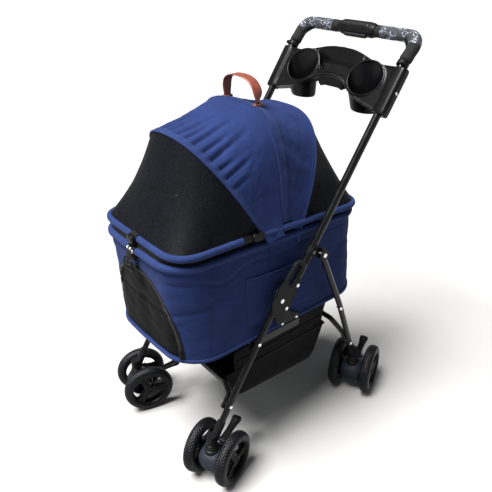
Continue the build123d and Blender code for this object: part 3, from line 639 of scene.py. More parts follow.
def rim_shape(outward):
    """Moulded rim: lipped ring, hub with cap, and three flared, dished spokes."""
    shape = Shape()
    to_x = Matrix.Rotation(math.radians(90), 4, "Y")
    ring = [(-12.5, RIM_R + 0.2), (-13.5, RIM_R - 1.5), (-13.5, RIM_R - 4.5), (-12, RIM_R - 6),
            (-8, RIM_R - 7.5), (0, RIM_R - 8.5), (8, RIM_R - 7.5), (12, RIM_R - 6),
            (13.5, RIM_R - 4.5), (13.5, RIM_R - 1.5), (12.5, RIM_R + 0.2)]
    shape.lathe(ring, to_x, 96)
    cap = [(-13.6, 0.2), (-13.6, HUB_R - 3), (-12, HUB_R - 1), (-9, HUB_R), (9, HUB_R),
           (12, HUB_R - 1), (13.6, HUB_R - 3), (13.6, HUB_R - 5.5),
           (12.2, HUB_R - 6.5), (12.2, 0.2)]
    shape.lathe(cap if outward > 0 else [(-a, r) for a, r in reversed(cap)], to_x, 48)
    for k in range(SPOKES):
        turn = Matrix.Rotation(TAU * k / SPOKES + SPOKE_TURN, 4, "X")
        loops = []
        for step in range(13):
            t = step / 12
            r = lerp(HUB_R - 3, RIM_R - 6, t)
            half_w = 9.5 + 13 * (abs(t - 0.35) ** 1.6)
            half_t = lerp(9.5, 6.0, ease(t * 1.3))
            dish = outward * lerp(3.0, 3.5, ease(t))
            loops.append([turn @ Vector((a + dish, b, r))
                          for a, b in superellipse(half_t, half_w, 4.5, 20)])
        shape.loft(loops)
        groove = []
        for step in range(9):
            t = step / 8
            r = lerp(HUB_R + 3, RIM_R - 10, t)
            x = outward * (lerp(9.5, 6.0, ease(t * 1.3)) + lerp(3.0, 3.5, ease(t)))
            groove.append(turn @ Vector((x, 0, r)))
        shape.tube(groove, 1.6, 8)
    return shape


def caster_body_shape():
    """Drum-nosed fork body with ribs round its front, and lever ears behind."""
    shape = Shape()
    around, across = 180, 22
    rows = []
    for i in range(around):
        angle = TAU * i / around
        front = clamp(0.5 + 0.9 * math.cos(angle - math.radians(200)))
        row = []
        for j in range(across + 1):
            turn = math.pi * j / across
            x = -math.cos(turn)
            profile = abs(math.sin(turn)) ** 0.35
            rib = 0.55 * math.cos(angle * DRUM_RIBS) * ease(front * 1.6) * ease((1 - abs(x)) * 5)
            r = (DRUM_EDGE_R + DRUM_SWELL * profile) + rib
            row.append((x * DRUM_HALF, DRUM_Y + r * math.cos(angle), DRUM_Z + r * math.sin(angle)))
        rows.append(row)
    shape.grid(rows, wrap_rows=True)
    for s in (-1, 1):
        shape.loft([[Vector((s * 14 + a, y, 82 + b * lerp(1, 0.75, (y - 30) / 24)))
                     for a, b in superellipse(2.6, 8.4, 3, 20)] for y in (26, 32, 38, 44, 50, 54)])
    pin = turned((0, *LEVER_PIVOT))
    shape.lathe([(-18.4, 0.1), (-18.4, 3), (-17, 3.6), (17, 3.6), (18.4, 3), (18.4, 0.1)], pin, 24)
    return shape


def caster_collar_shape():
    """Stepped swivel collar with a dust lip, and the stem above it."""
    shape = Shape()
    rings = [(84, 16), (92, 18.8), (100, 19), (102.5, 18.6), (103.4, 17.4),
             (103.8, 15.6), (104.4, 15.2), (105, 15.6), (108, 15.8), (110.6, 15.2), (111.2, 13.8),
             (111.8, 13.4), (112.4, 13.8), (115, 13.8), (116.6, 12.8), (116.8, 5.0),
             (137, 4.8), (137, 0.2)]
    shape.lathe(rings, Matrix.Identity(4), 64)
    return shape


def lever_shape():
    """Foot lever: hub, ribbed arm and a flared, dished pad."""
    shape = Shape()
    place = turned((0, *LEVER_PIVOT), LEVER_RISE, "X")
    loops = []
    stations = [(-5.5, 8, 4.6, 0), (-3, 10, 6.0, 0), (4, 10.6, 5.6, 0.3), (14, 9.6, 4.4, 1),
                (30, 9.0, 4.2, 1), (46, 9.4, 4.6, 1.4), (58, 10.2, 5.0, 2), (65, 12.0, 6.4, 3.2),
                (72, 12.6, 7.2, 4.0), (77, 11.8, 6.0, 4.2), (79, 9.0, 3.8, 4.0)]
    for y, half_w, half_h, lift in stations:
        loops.append([place @ Vector((a, y, lift + b))
                      for a, b in superellipse(half_w, half_h, 3.6, 32)])
    shape.loft(loops)
    for x in (-6.2, 6.2):
        path = [place @ Vector((x, y, lift))
                for y, lift in ((10, 5.2), (20, 5.4), (35, 5.5), (50, 6.2), (60, 7.4))]
        shape.tube(resample(path, 3), 1.3, 8)
    for k in range(5):
        y = 64 + 3.1 * k
        path = [place @ Vector((x, y, 9.5 - 0.004 * x * x)) for x in range(-9, 10, 2)]
        shape.tube(path, 0.7, 6)
    return shape


def screw_shape(place, radius=3.4):
    """Pan-head screw with a cross recess, head towards local +Z."""
    shape = Shape()
    shape.lathe([(-1.0, radius), (0.6, radius), (1.5, radius * 0.8), (1.9, radius * 0.45),
                 (1.9, radius * 0.3), (1.2, radius * 0.18), (1.2, 0.05)], place, 28)
    return shape


def make_casters():
    tyre = tyre_mesh().piece("tyre_pattern", None, TYRE)
    rims = {side: rim_shape(side).piece(f"rim_pattern_{side}", None, PLASTIC) for side in (-1, 1)}
    body = caster_body_shape().piece("caster_pattern", None, GREY_PLASTIC)
    collar = caster_collar_shape().piece("collar_pattern", None, PLASTIC)
    lever = lever_shape().piece("lever_pattern", None, PLASTIC)
    for name in CASTERS:
        place = caster_matrix(name)
        shell = share_mesh(f"caster_body_{name}", body.data, place, f"caster_{name}")
        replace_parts(shell, f"caster_housing_{name}")
        share_mesh(f"caster_collar_{name}", collar.data, place, f"caster_{name}")
        arm = share_mesh(f"lever_{name}", lever.data, place, f"brake_{name}")
        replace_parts(arm, f"brake_lever_{name}")
        for letter, side in (("a", -1), ("b", 1)):
            wheel = f"wheel_{name}_{letter}"
            axle = place @ Matrix.Translation((side * WHEEL_HALF_PITCH, TRAIL, WHEEL_R))
            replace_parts(share_mesh(f"tyre_{name}_{letter}", tyre.data, axle, wheel), wheel)
            share_mesh(f"rim_{name}_{letter}", rims[side].data, axle, wheel)
        finish_cad(STEEL, f"caster_axle_{name}")
    for pattern in (tyre, *rims.values(), body, collar, lever):
        bpy.data.objects.remove(pattern)


# ------------------------------------------------------------- joining by voxels
def applied(piece):
    """The piece with its modifiers made part of its mesh."""
    graph = bpy.context.evaluated_depsgraph_get()
    mesh = bpy.data.meshes.new_from_object(piece.evaluated_get(graph))
    piece.modifiers.clear()
    piece.data = mesh
    return piece


def voxel(piece, size, smooth=0):
    """Remeshes overlapping closed parts into one skin, with softened edges if smooth is set."""
    modify(piece, "REMESH", mode="VOXEL", voxel_size=size * MM, use_smooth_shade=True)
    if smooth:
        modify(piece, "SMOOTH", factor=0.5, iterations=smooth)
    return applied(piece)


def cut(piece, tool):
    modify(piece, "BOOLEAN", operation="DIFFERENCE", object=tool, solver="MANIFOLD")
    applied(piece)
    bpy.data.objects.remove(tool)
    return piece


def stitches(name, path, body, material, pitch=5.5, length=3.4, thick=0.45):
    """A sewn line: short thread capsules end to end along a path."""
    shape = Shape()
    even = resample(path, pitch)
    for a, b in zip(even, even[1:]):
        way = (b - a).normalized()
        start = a + way * (pitch - length) / 2
        ring = [(0, 0.4), (0.18, 1.0), (0.82, 1.0), (1, 0.4)]
        helper = Vector((0, 0, 1)) if abs(way.z) < 0.9 else Vector((1, 0, 0))
        u = way.cross(helper).normalized()
        w = way.cross(u)
        shape.loft([[start + way * (t * length) + (u * c + w * s) * thick * r for c, s in circle(6)]
                    for t, r in ring])
    return shape.piece(name, body, material)


def ribbon(edge_a, edge_b, normals, thick):
    """Flat strap with rounded sides between two edges of equally many points."""
    shape = Shape()
    loops = []
    for a, b, n in zip(edge_a, edge_b, normals):
        a, b, n = Vector(a), Vector(b), Vector(n).normalized()
        across = b - a
        loop = []
        for k in range(9):
            loop.append(a + across * (k / 8) + n * thick * (0.5 if 0 < k < 8 else 0.2))
        for k in range(8, -1, -1):
            loop.append(a + across * (k / 8) - n * thick * (0.5 if 0 < k < 8 else 0.2))
        loops.append(loop)
    shape.loft(loops)
    return shape


def declare_cloth(piece, columns):
    """Works out a sheet's flat size from its mesh of rows of so many points: its longest run each
    way, rounded up to 5 mm. The size is not stored or passed on."""
    points = [v.co for v in piece.data.vertices]
    rows = [points[k:k + columns] for k in range(0, len(points), columns)]
    length = max(run_length(row) for row in rows)
    width = max(run_length([row[k] for row in rows])
                for k in (0, columns // 4, columns // 2, columns - 1))
    width, length = (math.ceil(x * 200) / 200 for x in (width, length))


def run_length(line):
    return sum((b - a).length for a, b in zip(line, line[1:]))


# --------------------------------------------------------------- carrier fabric
TUB_BOTTOM, TUB_FRONT, TUB_REAR, TUB_HALF, TUB_CORNER = 350.0, -338.0, 222.0, 172.0, 85.0
RIM_HALF, RIM_CORNER, RIM_TUBE = 160.0, 66.0, 8.5
LOWER_FRONT, LOWER_REAR = (-345.0, 602.0), (214.0, 576.0)
UPPER_HALF, UPPER_FRONT, UPPER_REAR = 163.0, (-342.0, 630.0), (216.0, 597.0)
HATCH = joint_place("hatch_lift")
DOOR_HALF, DOOR_LOW, DOOR_HIGH, DOOR_POWER = 131.0, 362.0, 553.0, 2.3
POCKET_FRONT, POCKET_REAR, POCKET_LOW, POCKET_HIGH = -167.0, 70.0, 392.0, 521.0
HINGE_SEAM_Y, SNAP_TAB_TOP = -95.0, 586
TUB_AROUND, TUB_HIGH, PIPING_COUNT = 460, 70, 420
DOOR_ROWS, DOOR_COLUMNS = 60, 70
POCKET_ROWS, POCKET_COLUMNS = 61, 41
TUB_THICK, PAD_LOW, PAD_HIGH, PAD_VOXEL, PAD_INSET = 3.0, 364.5, 384.0, 6.0, 14
PAD_PRESSURE, PAD_RISE, PAD_FRAMES, TUFT_DEPTH = 4.0, 5.0, 20, 3.2


def oblong(t, half, front, rear, corner, bulge=0.0):
    """Point (x, y) at share t round a rounded rectangle, from the rear middle by the +X side."""
    hx, middle, hy = half - corner, (front + rear) / 2, (rear - front) / 2 - corner
    arc = math.pi * corner / 2
    d = (t % 1.0) * (4 * hx + 4 * hy + 4 * arc)
    runs = [(hx, (0, rear), (hx, rear)), (arc, (hx, middle + hy), 90),
            (2 * hy, (half, middle + hy), (half, middle - hy)), (arc, (hx, middle - hy), 0),
            (2 * hx, (hx, front), (-hx, front)), (arc, (-hx, middle - hy), -90),
            (2 * hy, (-half, middle - hy), (-half, middle + hy)), (arc, (-hx, middle + hy), 180),
            (hx, (-hx, rear), (0, rear))]
    for length, a, b in runs:
        if d <= length:
            break
        d -= length
    s = min(d / length, 1.0)
    if isinstance(b, tuple):
        x, y = lerp(a[0], b[0], s), lerp(a[1], b[1], s)
    else:
        angle = math.radians(b - 90 * s)
        x, y = a[0] + corner * math.cos(angle), a[1] + corner * math.sin(angle)
    return x, y - front_bulge(x, y, half, front, rear, bulge)


def front_bulge(x, y, half, front, rear, bulge):
    """How far the front wall stands forward of a straight line."""
    middle = (front + rear) / 2
    return bulge * clamp((middle - y) / (middle - front)) ** 4 * math.cos(x / half * 1.4)


def tub_size(s):
    """Half width, front, rear, corner and front bulge of the tub at height share s."""
    return (lerp(TUB_HALF, RIM_HALF + 2.5, s), lerp(TUB_FRONT, LOWER_FRONT[0] - 1, s),
            lerp(TUB_REAR, LOWER_REAR[0] + 1, s), lerp(TUB_CORNER, RIM_CORNER, s), lerp(9, 5, s))


def rim_height(y):
    share = (y - LOWER_FRONT[0]) / (LOWER_REAR[0] - LOWER_FRONT[0])
    return lerp(LOWER_FRONT[1], LOWER_REAR[1], share) - RIM_TUBE * 0.4


def height_share(y, z):
    return clamp((z - TUB_BOTTOM - 2) / (rim_height(y) - TUB_BOTTOM - 2))


def inward(x, y, amount):
    """(x, y) moved towards the carrier's middle line."""
    along = y - lerp(TUB_FRONT, TUB_REAR, 0.5)
    pull = Vector((x, math.copysign(max(abs(along) - 160, 0), along)))
    return Vector((x, y)) - pull.normalized() * amount if pull.length > 1 else Vector((x, y))


def cloth_wave(x, y, z, s):
    """How far the tub's padded cloth sinks in: folds and slack below the rim, most half way up."""
    calm = math.sin(math.pi * clamp(s)) ** 0.6
    folds = (3.0 * rough(x, y, z * 0.6, 105) + 1.8 * rough(x * 1.2, y, z * 1.6, 40)
             + 0.7 * rough(x, y, z * 2, 17))
    wall = clamp((abs(x) - 90) / 40)
    line = 560 - 24 * bump_at(y, -225, 42) - 10 * bump_at(y, -60, 50)
    droop = (3.6 * bump_at(z, line, 5) - 2.2 * bump_at(z, line + 13, 8)
             + 1.4 * bump_at(z, line - 40 - 0.1 * y, 12))
    crease = 2.6 * bump_at(z, 505 - 0.3 * abs(y + 250), 6) * clamp((-150 - y) / 60)
    upright = 2.2 * bump_at(y, -262 + 0.08 * (z - 450), 9) * clamp((560 - z) / 60)
    return calm * (1.5 - folds + wall * (droop + upright) + crease)


def tub_point(t, s, out=0.0):
    """Outer cloth of the tub: t round it, s from the bottom (0) to the rim (1)."""
    half, front, rear, corner, bulge = tub_size(s)
    x, y = oblong(t, half, front, rear, corner, bulge)
    z = lerp(TUB_BOTTOM + 2, rim_height(y), s)
    p = inward(x, y, cloth_wave(x, y, z, s) - out)
    return Vector((p.x, p.y, z))


def tub_front_at(x, z, out=0.0):
    """Point of the tub's front wall at (x, z)."""
    y = TUB_FRONT
    for _ in range(3):
        s = height_share(y, z)
        half, front, rear, corner, bulge = tub_size(s)
        over = max(abs(x) - (half - corner), 0)
        y = front + corner - math.sqrt(max(corner * corner - over * over, 0))
        y -= front_bulge(x, y, half, front, rear, bulge)
    p = inward(x, y, cloth_wave(x, y, z, s) - out)
    return Vector((p.x, p.y, z))


def tub_side_at(y, z, side, out=0.0):
    s = height_share(y, z)
    x = side * tub_size(s)[0]
    p = inward(x, y, cloth_wave(x, y, z, s) - out)
    return Vector((p.x, p.y, z))


def door_arch(turn, grow=0.0):
    """(x, z) on the door's edge at an angle from 0 at the +X foot to pi at the -X foot."""
    c, s = math.cos(turn), math.sin(turn)
    across = math.copysign(abs(c) ** (2 / DOOR_POWER), c) * (DOOR_HALF + grow)
    return across, DOOR_LOW + (DOOR_HIGH + grow - DOOR_LOW) * abs(s) ** (2 / DOOR_POWER)


def in_door(x, z):
    if z < DOOR_LOW:
        return False
    return ((abs(x) / DOOR_HALF) ** DOOR_POWER
            + ((z - DOOR_LOW) / (DOOR_HIGH - DOOR_LOW)) ** DOOR_POWER < 1)


def tub_shape():
    shape = Shape()
    rows = [[tub_point(i / TUB_AROUND, j / TUB_HIGH) for j in range(TUB_HIGH + 1)]
            for i in range(TUB_AROUND)]
    shape.grid(rows, wrap_rows=True)
    kept = []
    for face in shape.faces:
        x, y, z = (sum(shape.verts[k][c] for k in face) / len(face) for c in range(3))
        if not (y < -230 and in_door(x, z)):
            kept.append(face)
    shape.faces = kept
    return shape


def make_door():
    net_shape = Shape()
    grid = []
    for i in range(DOOR_ROWS + 1):
        z = lerp(DOOR_LOW + 0.5, DOOR_HIGH - 0.5, i / DOOR_ROWS)
        share = (z - DOOR_LOW) / (DOOR_HIGH - DOOR_LOW)
        half = DOOR_HALF * (1 - share ** DOOR_POWER) ** (1 / DOOR_POWER)
        row = []
        for j in range(DOOR_COLUMNS + 1):
            x = half * (2 * j / DOOR_COLUMNS - 1)
            slack = 3.0 * math.sin(math.pi * j / DOOR_COLUMNS) * rough(x, 3, z, 60)
            row.append(tub_front_at(x, z, -1.5 + slack))
        grid.append(row)
    net_shape.grid(grid)
    door = net_shape.piece("door_net", "carrier", DOOR_NET)
    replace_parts(door, "front_door_mesh")
    declare_cloth(door, DOOR_COLUMNS + 1)
    turns = [math.pi * k / 150 for k in range(151)]
    inner = [tub_front_at(*door_arch(t, -6), 0.6) for t in turns]
    outer = [tub_front_at(*door_arch(t, 5), 0.9) for t in turns]
    normals = [(p.x * 0.4, -1, 0) for p in inner]
    ribbon(inner, outer, normals, 1.2).piece("door_zip_tape", "carrier",
                                             BLACK_WEBBING, "black_mesh")
    coil = Shape()
    path = resample([tub_front_at(*door_arch(t, -1), 1.9) for t in turns], 2.4)
    for k in range(len(path) - 1):
        a, b = path[k], path[k + 1]
        way = (b - a).normalized()
        across = way.cross(Vector((a.x * 0.004, -1, 0))).normalized()
        side = across * (1.9 if k % 2 else -1.9)
        coil.tube([a - side, a + side * 0.4, b + side], 0.55, 6)
    coil.piece("door_zip_coil", "carrier", STEEL_DARK)
    x, z = door_arch(0.1, -1)
    foot = tub_front_at(x, z, 3.2)
    slider = Shape()
    slider.loft([[foot + Vector((a, -1.2 + h, b - 3))
                  for a, b in superellipse(3.6 * w, 5.5 * w, 3, 16)]
                 for h, w in ((2.2, 0.85), (1.2, 1.0), (-0.8, 1.0), (-2.0, 0.8))])
    pull = [foot + Vector(p)
            for p in ((0, -3.2, -1), (0.5, -4.8, -4), (1, -4, -10), (1.5, -3, -18), (2, -3, -24))]
    slider.tube(resample(pull, 1.5), lambda t: 1.4 + 1.6 * ease((t - 0.45) * 4), 10)
    slider.piece("door_zip_slider", "carrier", PLASTIC)


def make_pockets():
    for side, label in SIDES:
        shape = Shape()
        rows = []
        for i in range(POCKET_ROWS):
            u = i / (POCKET_ROWS - 1)
            y = lerp(POCKET_FRONT, POCKET_REAR, u)
            top = POCKET_HIGH - 9 * u - 5 * math.sin(math.pi * u)
            row = []
            for j in range(POCKET_COLUMNS):
                v = j / (POCKET_COLUMNS - 1)
                z = lerp(POCKET_LOW, top, v)
                edge = min(u, 1 - u, v) * 2
                gape = 2.2 * math.sin(math.pi * u) * ease((v - 0.7) / 0.3)
                row.append(tub_side_at(y, z, side, 0.4 + 1.5 * ease(edge * 30) + gape))
            rows.append(row)
        shape.grid(rows)
        pocket = shape.piece(f"side_pocket_{label}", "carrier", NAVY)
        declare_cloth(pocket, POCKET_COLUMNS)
        solidify(pocket, 1.0, -1.0)
        hem = Shape()
        hem.tube([Vector(row[-1]) + Vector((side * 0.9, 0, -0.6)) for row in rows], 1.3, 8)
        hem.piece(f"pocket_hem_{label}", "carrier", NAVY_LIGHT)
        line = [Vector(row[36]) + Vector((side * 0.8, 0, 0)) for row in rows]
        stitches(f"pocket_stitch_{label}", line, "carrier", NAVY_LIGHT)
        for y, name in ((POCKET_FRONT + 2, "front"), (HINGE_SEAM_Y, "hinge")):
            low, high = (POCKET_LOW, POCKET_HIGH) if name == "front" else (POCKET_HIGH + 2, 592)
            seam = Shape()
            seam.tube([tub_side_at(y, lerp(low, high, k / 40), side, 0.9) for k in range(41)], 1.0,
                      8)
            seam.piece(f"side_seam_{name}_{label}", "carrier", NAVY)
        tab = Shape()
        tab.loft([[tub_side_at(-4 + a, SNAP_TAB_TOP - 9 * k, side, 1.2) + Vector((side * h, 0, 0))
                   for a, h in ((-5, 0), (-4, 1.2), (4, 1.2), (5, 0), (4, -0.6), (-4, -0.6))]
                  for k in (0, 1, 2, 2.6)])
        tab.piece(f"snap_tab_{label}", "carrier", NAVY_LIGHT)


def lower_rim_path(count=360):
    """Closed path round the sloping lower rim."""
    path = []
    for i in range(count):
        x, y = oblong(i / count, RIM_HALF, LOWER_FRONT[0], LOWER_REAR[0], RIM_CORNER, 6)
        share = (y - LOWER_FRONT[0]) / (LOWER_REAR[0] - LOWER_FRONT[0])
        path.append(Vector((x, y, lerp(LOWER_FRONT[1], LOWER_REAR[1], share))))
    return path


def sleeve_rings(path, radius, sides, closed):
    """Cloth sleeve round a rim: gathered lightly, with a raised seam along its inner side."""
    rings = tube_rings(path, radius, sides, closed)
    for i, ring in enumerate(rings):
        centre = path[i]
        for k, p in enumerate(ring):
            way = (p - centre).normalized()
            gather = 0.45 * rough(p.x, p.y, p.z, 9) + 0.45 * rough(p.x, p.y, p.z, 26)
            ring[k] = p + way * gather
    return rings


def upper_path(end, near):
    half = UPPER_HALF
    return rounded_path([(half, near[0], near[1]), (half, *end), (-half, *end),
                         (-half, near[0], near[1])],
                        RIM_CORNER, 4)


def make_rims():
    lower = Shape()
    path = lower_rim_path()
    lower.grid(sleeve_rings(path, RIM_TUBE, 20, True), wrap_rows=True, wrap_columns=True)
    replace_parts(lower.piece("lower_rim_sleeve", "carrier", NAVY_PIPING), "lower_rim")
    front_near, rear_near = (HATCH.y - 34, HATCH.z + 1.3), (HATCH.y + 22, HATCH.z - 2)
    for name, end, near, body in (("rear_rim", UPPER_REAR, rear_near, "carrier"),
                                  ("front_rim", UPPER_FRONT, front_near, "hatch")):
        shape = Shape()
        shape.loft(sleeve_rings(upper_path(end, near), RIM_TUBE - 0.4, 20, False))
        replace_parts(shape.piece(f"{name}_sleeve", body, NAVY_PIPING), name)
    for side, label in SIDES:
        tip = Shape()
        tip.tube([(side * UPPER_HALF, HATCH.y - 8 - k, HATCH.z + 0.2 + k * 0.03)
                  for k in range(0, 30, 2)],
                 lambda t: 7.2 + 0.8 * ease(t * 3), 24)
        eye = turned((side * 165.4, HATCH.y, HATCH.z))
        tip.lathe([(-4.4, 3.2), (-4.4, 7.6), (-3.6, 8.5), (3.6, 8.5), (4.4, 7.6), (4.4, 3.2)], eye,
                  40)
        tip.piece(f"hatch_hinge_{label}", "hatch", PLASTIC)
        socket = Shape()
        socket.tube([(side * UPPER_HALF, HATCH.y + 11 + k, HATCH.z - 1 - k * 0.07)
                     for k in range(0, 16, 2)],
                    lambda t: 8.6 - 0.5 * ease(t * 2 - 1), 24)
        socket.piece(f"rim_socket_{label}", "carrier", PLASTIC)
    gusset = Shape()
    rows = []
    for p in path:
        share = (p.y - UPPER_FRONT[0]) / (UPPER_REAR[0] - UPPER_FRONT[0])
        top = lerp(UPPER_FRONT[1], UPPER_REAR[1], share) - 3
        inner = inward(p.x, p.y, 4.5)
        row = []
        for k in range(7):
            wobble = 0.8 * rough(p.x, p.y, k * 9, 14)
            q = inward(inner.x, inner.y, wobble)
            row.append((q.x, q.y, lerp(p.z, top, k / 6)))
        rows.append(row)
    gusset.grid(rows, wrap_rows=True)
    solidify(gusset.piece("rim_gusset", "carrier", BLACK_CLOTH), 1.4)


def make_tub():
    tub = solidify(tub_shape().piece("tub_cloth", "carrier", NAVY), TUB_THICK, -1.0)
    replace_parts(tub, "carrier_tub")
    declare_cloth(tub, TUB_HIGH + 1)
    band = Shape()
    loops = []
    for i in range(PIPING_COUNT):
        p, q = tub_point(i / PIPING_COUNT, 0.0), tub_point(i / PIPING_COUNT + 0.001, 0.0)
        out = (q - p).cross(Vector((0, 0, 1))).normalized()
        out = out if out.dot(Vector((p.x, p.y - lerp(TUB_FRONT, TUB_REAR, 0.5), 0))) > 0 else -out
        pinch = 0.3 * rough(p.x, p.y, 3, 12)
        loops.append([p + out * (a + 0.8 + pinch) + Vector((0, 0, b + 3.2))
                      for a, b in superellipse(2.2, 5.0, 2.6, 14)])
    band.grid(loops, wrap_rows=True, wrap_columns=True)
    band.piece("bottom_piping", "carrier", NAVY_PIPING)
    line = [tub_point(i / PIPING_COUNT, 0.045, 0.5) for i in range(PIPING_COUNT)]
    stitches("bottom_stitch", line, "carrier", NAVY_LIGHT)
    floor = Shape()
    loop = [tub_point(i / 160, 0, -1) for i in range(160)]
    low = [(p.x, p.y, TUB_BOTTOM + 0.6) for p in loop]
    high = [(p.x, p.y, TUB_BOTTOM + 4.5) for p in loop]
    floor.loft([low, high])
    floor.piece("tub_floor", "carrier", BLACK_CLOTH)
    finish_cad(BOARD, "base_board")


def puffed(piece, pressure, cap):
    """Swells a pad with a short cloth run; no point moves further than the cap."""
    rest = [v.co.copy() for v in piece.data.vertices]
    cloth = piece.modifiers.new("Cloth", "CLOTH").settings
    cloth.quality, cloth.mass = 5, 0.3
    cloth.use_pressure, cloth.uniform_pressure_force = True, pressure
    cloth.effector_weights.gravity = 0.0
    cloth.tension_stiffness = cloth.compression_stiffness = 15
    scene = bpy.context.scene
    scene.frame_start, scene.frame_end = 1, PAD_FRAMES
    for step in range(1, PAD_FRAMES + 1):
        scene.frame_set(step)
    applied(piece)
    scene.frame_set(1)
    for v, was in zip(piece.data.vertices, rest):
        move = v.co - was
        v.co = was + move * min(1.0, cap * MM / max(move.length, 1e-9))
    return piece


def make_cushion():
    """Floor pad of the carrier: a thin quilted pad with a piped edge."""
    shape = Shape()
    low, high, half = PAD_LOW, PAD_HIGH, TUB_HALF - PAD_INSET
    loops = []
    for z, grow in ((low, -7), (low + 2.5, -1), (low + 9, 1.2), (high - 8, 1.2),
                    (high - 2.5, -1), (high, -7)):
        loops.append([(x, y, z)
                      for x, y in (oblong(i / 200, half + grow, TUB_FRONT + PAD_INSET - grow,
                                                    TUB_REAR - PAD_INSET + grow, 70 + grow, 5)
                                             for i in range(200))])
    shape.loft(loops)
    pad = voxel(shape.piece("floor_pad", "carrier", GREY_PAD), PAD_VOXEL)
    puffed(pad, PAD_PRESSURE, PAD_RISE)
    for v in pad.data.vertices:
        p = v.co / MM
        tuft = max(bump_at(math.hypot((p.x + 200) % 80 - 40, (p.y + 450) % 90 - 45), 0, 13), 0)
        if p.z > 374:
            v.co.z -= TUFT_DEPTH * MM * tuft
    subdivide(pad)
    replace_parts(pad, "cushion")
    welt = Shape()
    path = [Vector((*oblong(i / 240, half + 2.5, TUB_FRONT + 11.5, TUB_REAR - 11.5, 72, 5), 375.5))
            for i in range(240)]
    welt.tube(path, 1.8, 8, closed=True)
    welt.piece("pad_welt", "carrier", BLACK_WEBBING)


# ----------------------------------------------------------------------- canopy
# Hoops: base y, base z, half width, height, forward tilt in degrees, superellipse power.
FRONT_BOW = (-99.0, 595.0, 163.0, 286.0, 30.5, 2.4)
CENTRE_BOW = (-54.0, 610.0, 160.0, 270.0, 0.0, 3.2)
REAR_BOW = (3.0, 596.0, 164.0, 262.0, -20.0, 2.9)
CANOPY_MIDDLE_Z = 640.0
CANOPY_ACROSS, CANOPY_ALONG, NET_COUNT, NET_STEPS, NET_BELLY = 560, 120, 150, 40, 7
# Gathers in the front panel: share along the hoop, width, depth in mm, reach back, drift
GATHERS = [(0.225, 0.0065, 3.4, 0.55, 0.02), (0.262, 0.006, 4.2, 0.75, 0.03),
           (0.295, 0.006, 3.4, 0.45, 0.015), (0.328, 0.007, 4.6, 0.85, 0.035),
           (0.362, 0.006, 3.6, 0.60, 0.02), (0.398, 0.0065, 4.4, 0.90, 0.02),
           (0.432, 0.006, 3.2, 0.50, 0.01), (0.468, 0.007, 4.0, 0.80, -0.01),
           (0.507, 0.006, 3.0, 0.55, 0.0), (0.545, 0.0065, 3.8, 0.75, -0.01),
           (0.585, 0.006, 3.0, 0.60, -0.02), (0.63, 0.007, 3.8, 0.70, -0.02),
           (0.68, 0.006, 3.0, 0.55, -0.03), (0.73, 0.0065, 3.2, 0.60, -0.02),
           (0.775, 0.006, 2.6, 0.50, -0.02)]
# Long soft folds of the rear panel, which fan from the centre band down to the rear corners
SWAGS = [(0.16, 0.018, 2.6, -0.05), (0.22, 0.022, 4.0, -0.09), (0.30, 0.02, 3.4, -0.10),
         (0.40, 0.028, 2.6, -0.06), (0.60, 0.028, 2.6, 0.06), (0.70, 0.02, 3.4, 0.10),
         (0.78, 0.022, 4.0, 0.09), (0.84, 0.018, 2.6, 0.05)]


def hoop_point(bow, t):
    """Point at share t along a hoop, from its +X foot to its -X foot."""
    y, z, half, height, tilt, power = bow
    angle = math.pi * clamp(t)
    c, s = math.cos(angle), math.sin(angle)
    across = math.copysign(abs(c) ** (2 / power), c) * half
    up = height * abs(s) ** (2 / power)
    lean = math.radians(tilt)
    return Vector((across, y - up * math.sin(lean), z + up * math.cos(lean)))


def even_hoop(bow, count):
    """count + 1 points spaced evenly along a hoop."""
    return spread([hoop_point(bow, k / 400) for k in range(401)], count)


def spread(points, count):
    """The same path as count + 1 even points."""
    length = sum((b - a).length for a, b in zip(points, points[1:]))
    even = resample(points, length / (count + 0.5))
    return even[:count] + [points[-1].copy()] if len(even) >= count + 1 else even


HOOP_COUNT = 300
HOOPS = [even_hoop(bow, HOOP_COUNT) for bow in (FRONT_BOW, CENTRE_BOW, REAR_BOW)]


def on_hoop(which, share):
    place = clamp(share) * (len(HOOPS[which]) - 1)
    k = min(int(place), len(HOOPS[which]) - 2)
    return HOOPS[which][k].lerp(HOOPS[which][k + 1], place - k)


def canopy_at(share, v, out=0.0):
    """Point of the canopy: share across from its +X side, v from front hoop (0) to rear one (2)."""
    first, t = (0, v) if v <= 1 else (1, v - 1)
    p = on_hoop(first, share).lerp(on_hoop(first + 1, share), t)
    way = (p - Vector((0, p.y, CANOPY_MIDDLE_Z))).normalized()
    arch = math.sin(math.pi * clamp(share)) ** 0.5
    sag = 4 * t * (1 - t)
    depth = (2.0 + 2.5 * abs(2 * share - 1) if v <= 1 else 3.0) * sag * arch
    depth -= sag * (1.6 * rough(p.x, p.y, p.z, 42) + 1.1 * rough(p.x, p.y * 2, p.z, 21))
    depth -= sag * 0.5 * rough(p.x * 1.2, p.y, p.z, 11)
    if v <= 1:
        for place, width, deep, reach, drift in GATHERS:
            fade = ease(t / 0.1) * (1 - ease((t - reach * 0.35) / (reach * 0.65)))
            depth += deep * fade * bump_at(share, place + drift * t, width * (1 + t))
            depth -= 0.5 * deep * fade * bump_at(share, place + drift * t + 2.1 * width,
                                                 width * (1 + t))
    else:
        for place, width, deep, drift in SWAGS:
            depth += (deep * ease(t / 0.25) * ease((1 - t) / 0.3)
                      * bump_at(share, place + drift * t, width * (0.7 + t)))
    return p + way * (out - depth)


def canopy_shape():
    """Blue cloth stretched over three hoops, with gathers behind its front hem."""
    shape = Shape()
    shape.grid([[canopy_at(i / CANOPY_ACROSS, 2 * j / CANOPY_ALONG)
                 for j in range(CANOPY_ALONG + 1)]
                for i in range(CANOPY_ACROSS + 1)])
    return shape


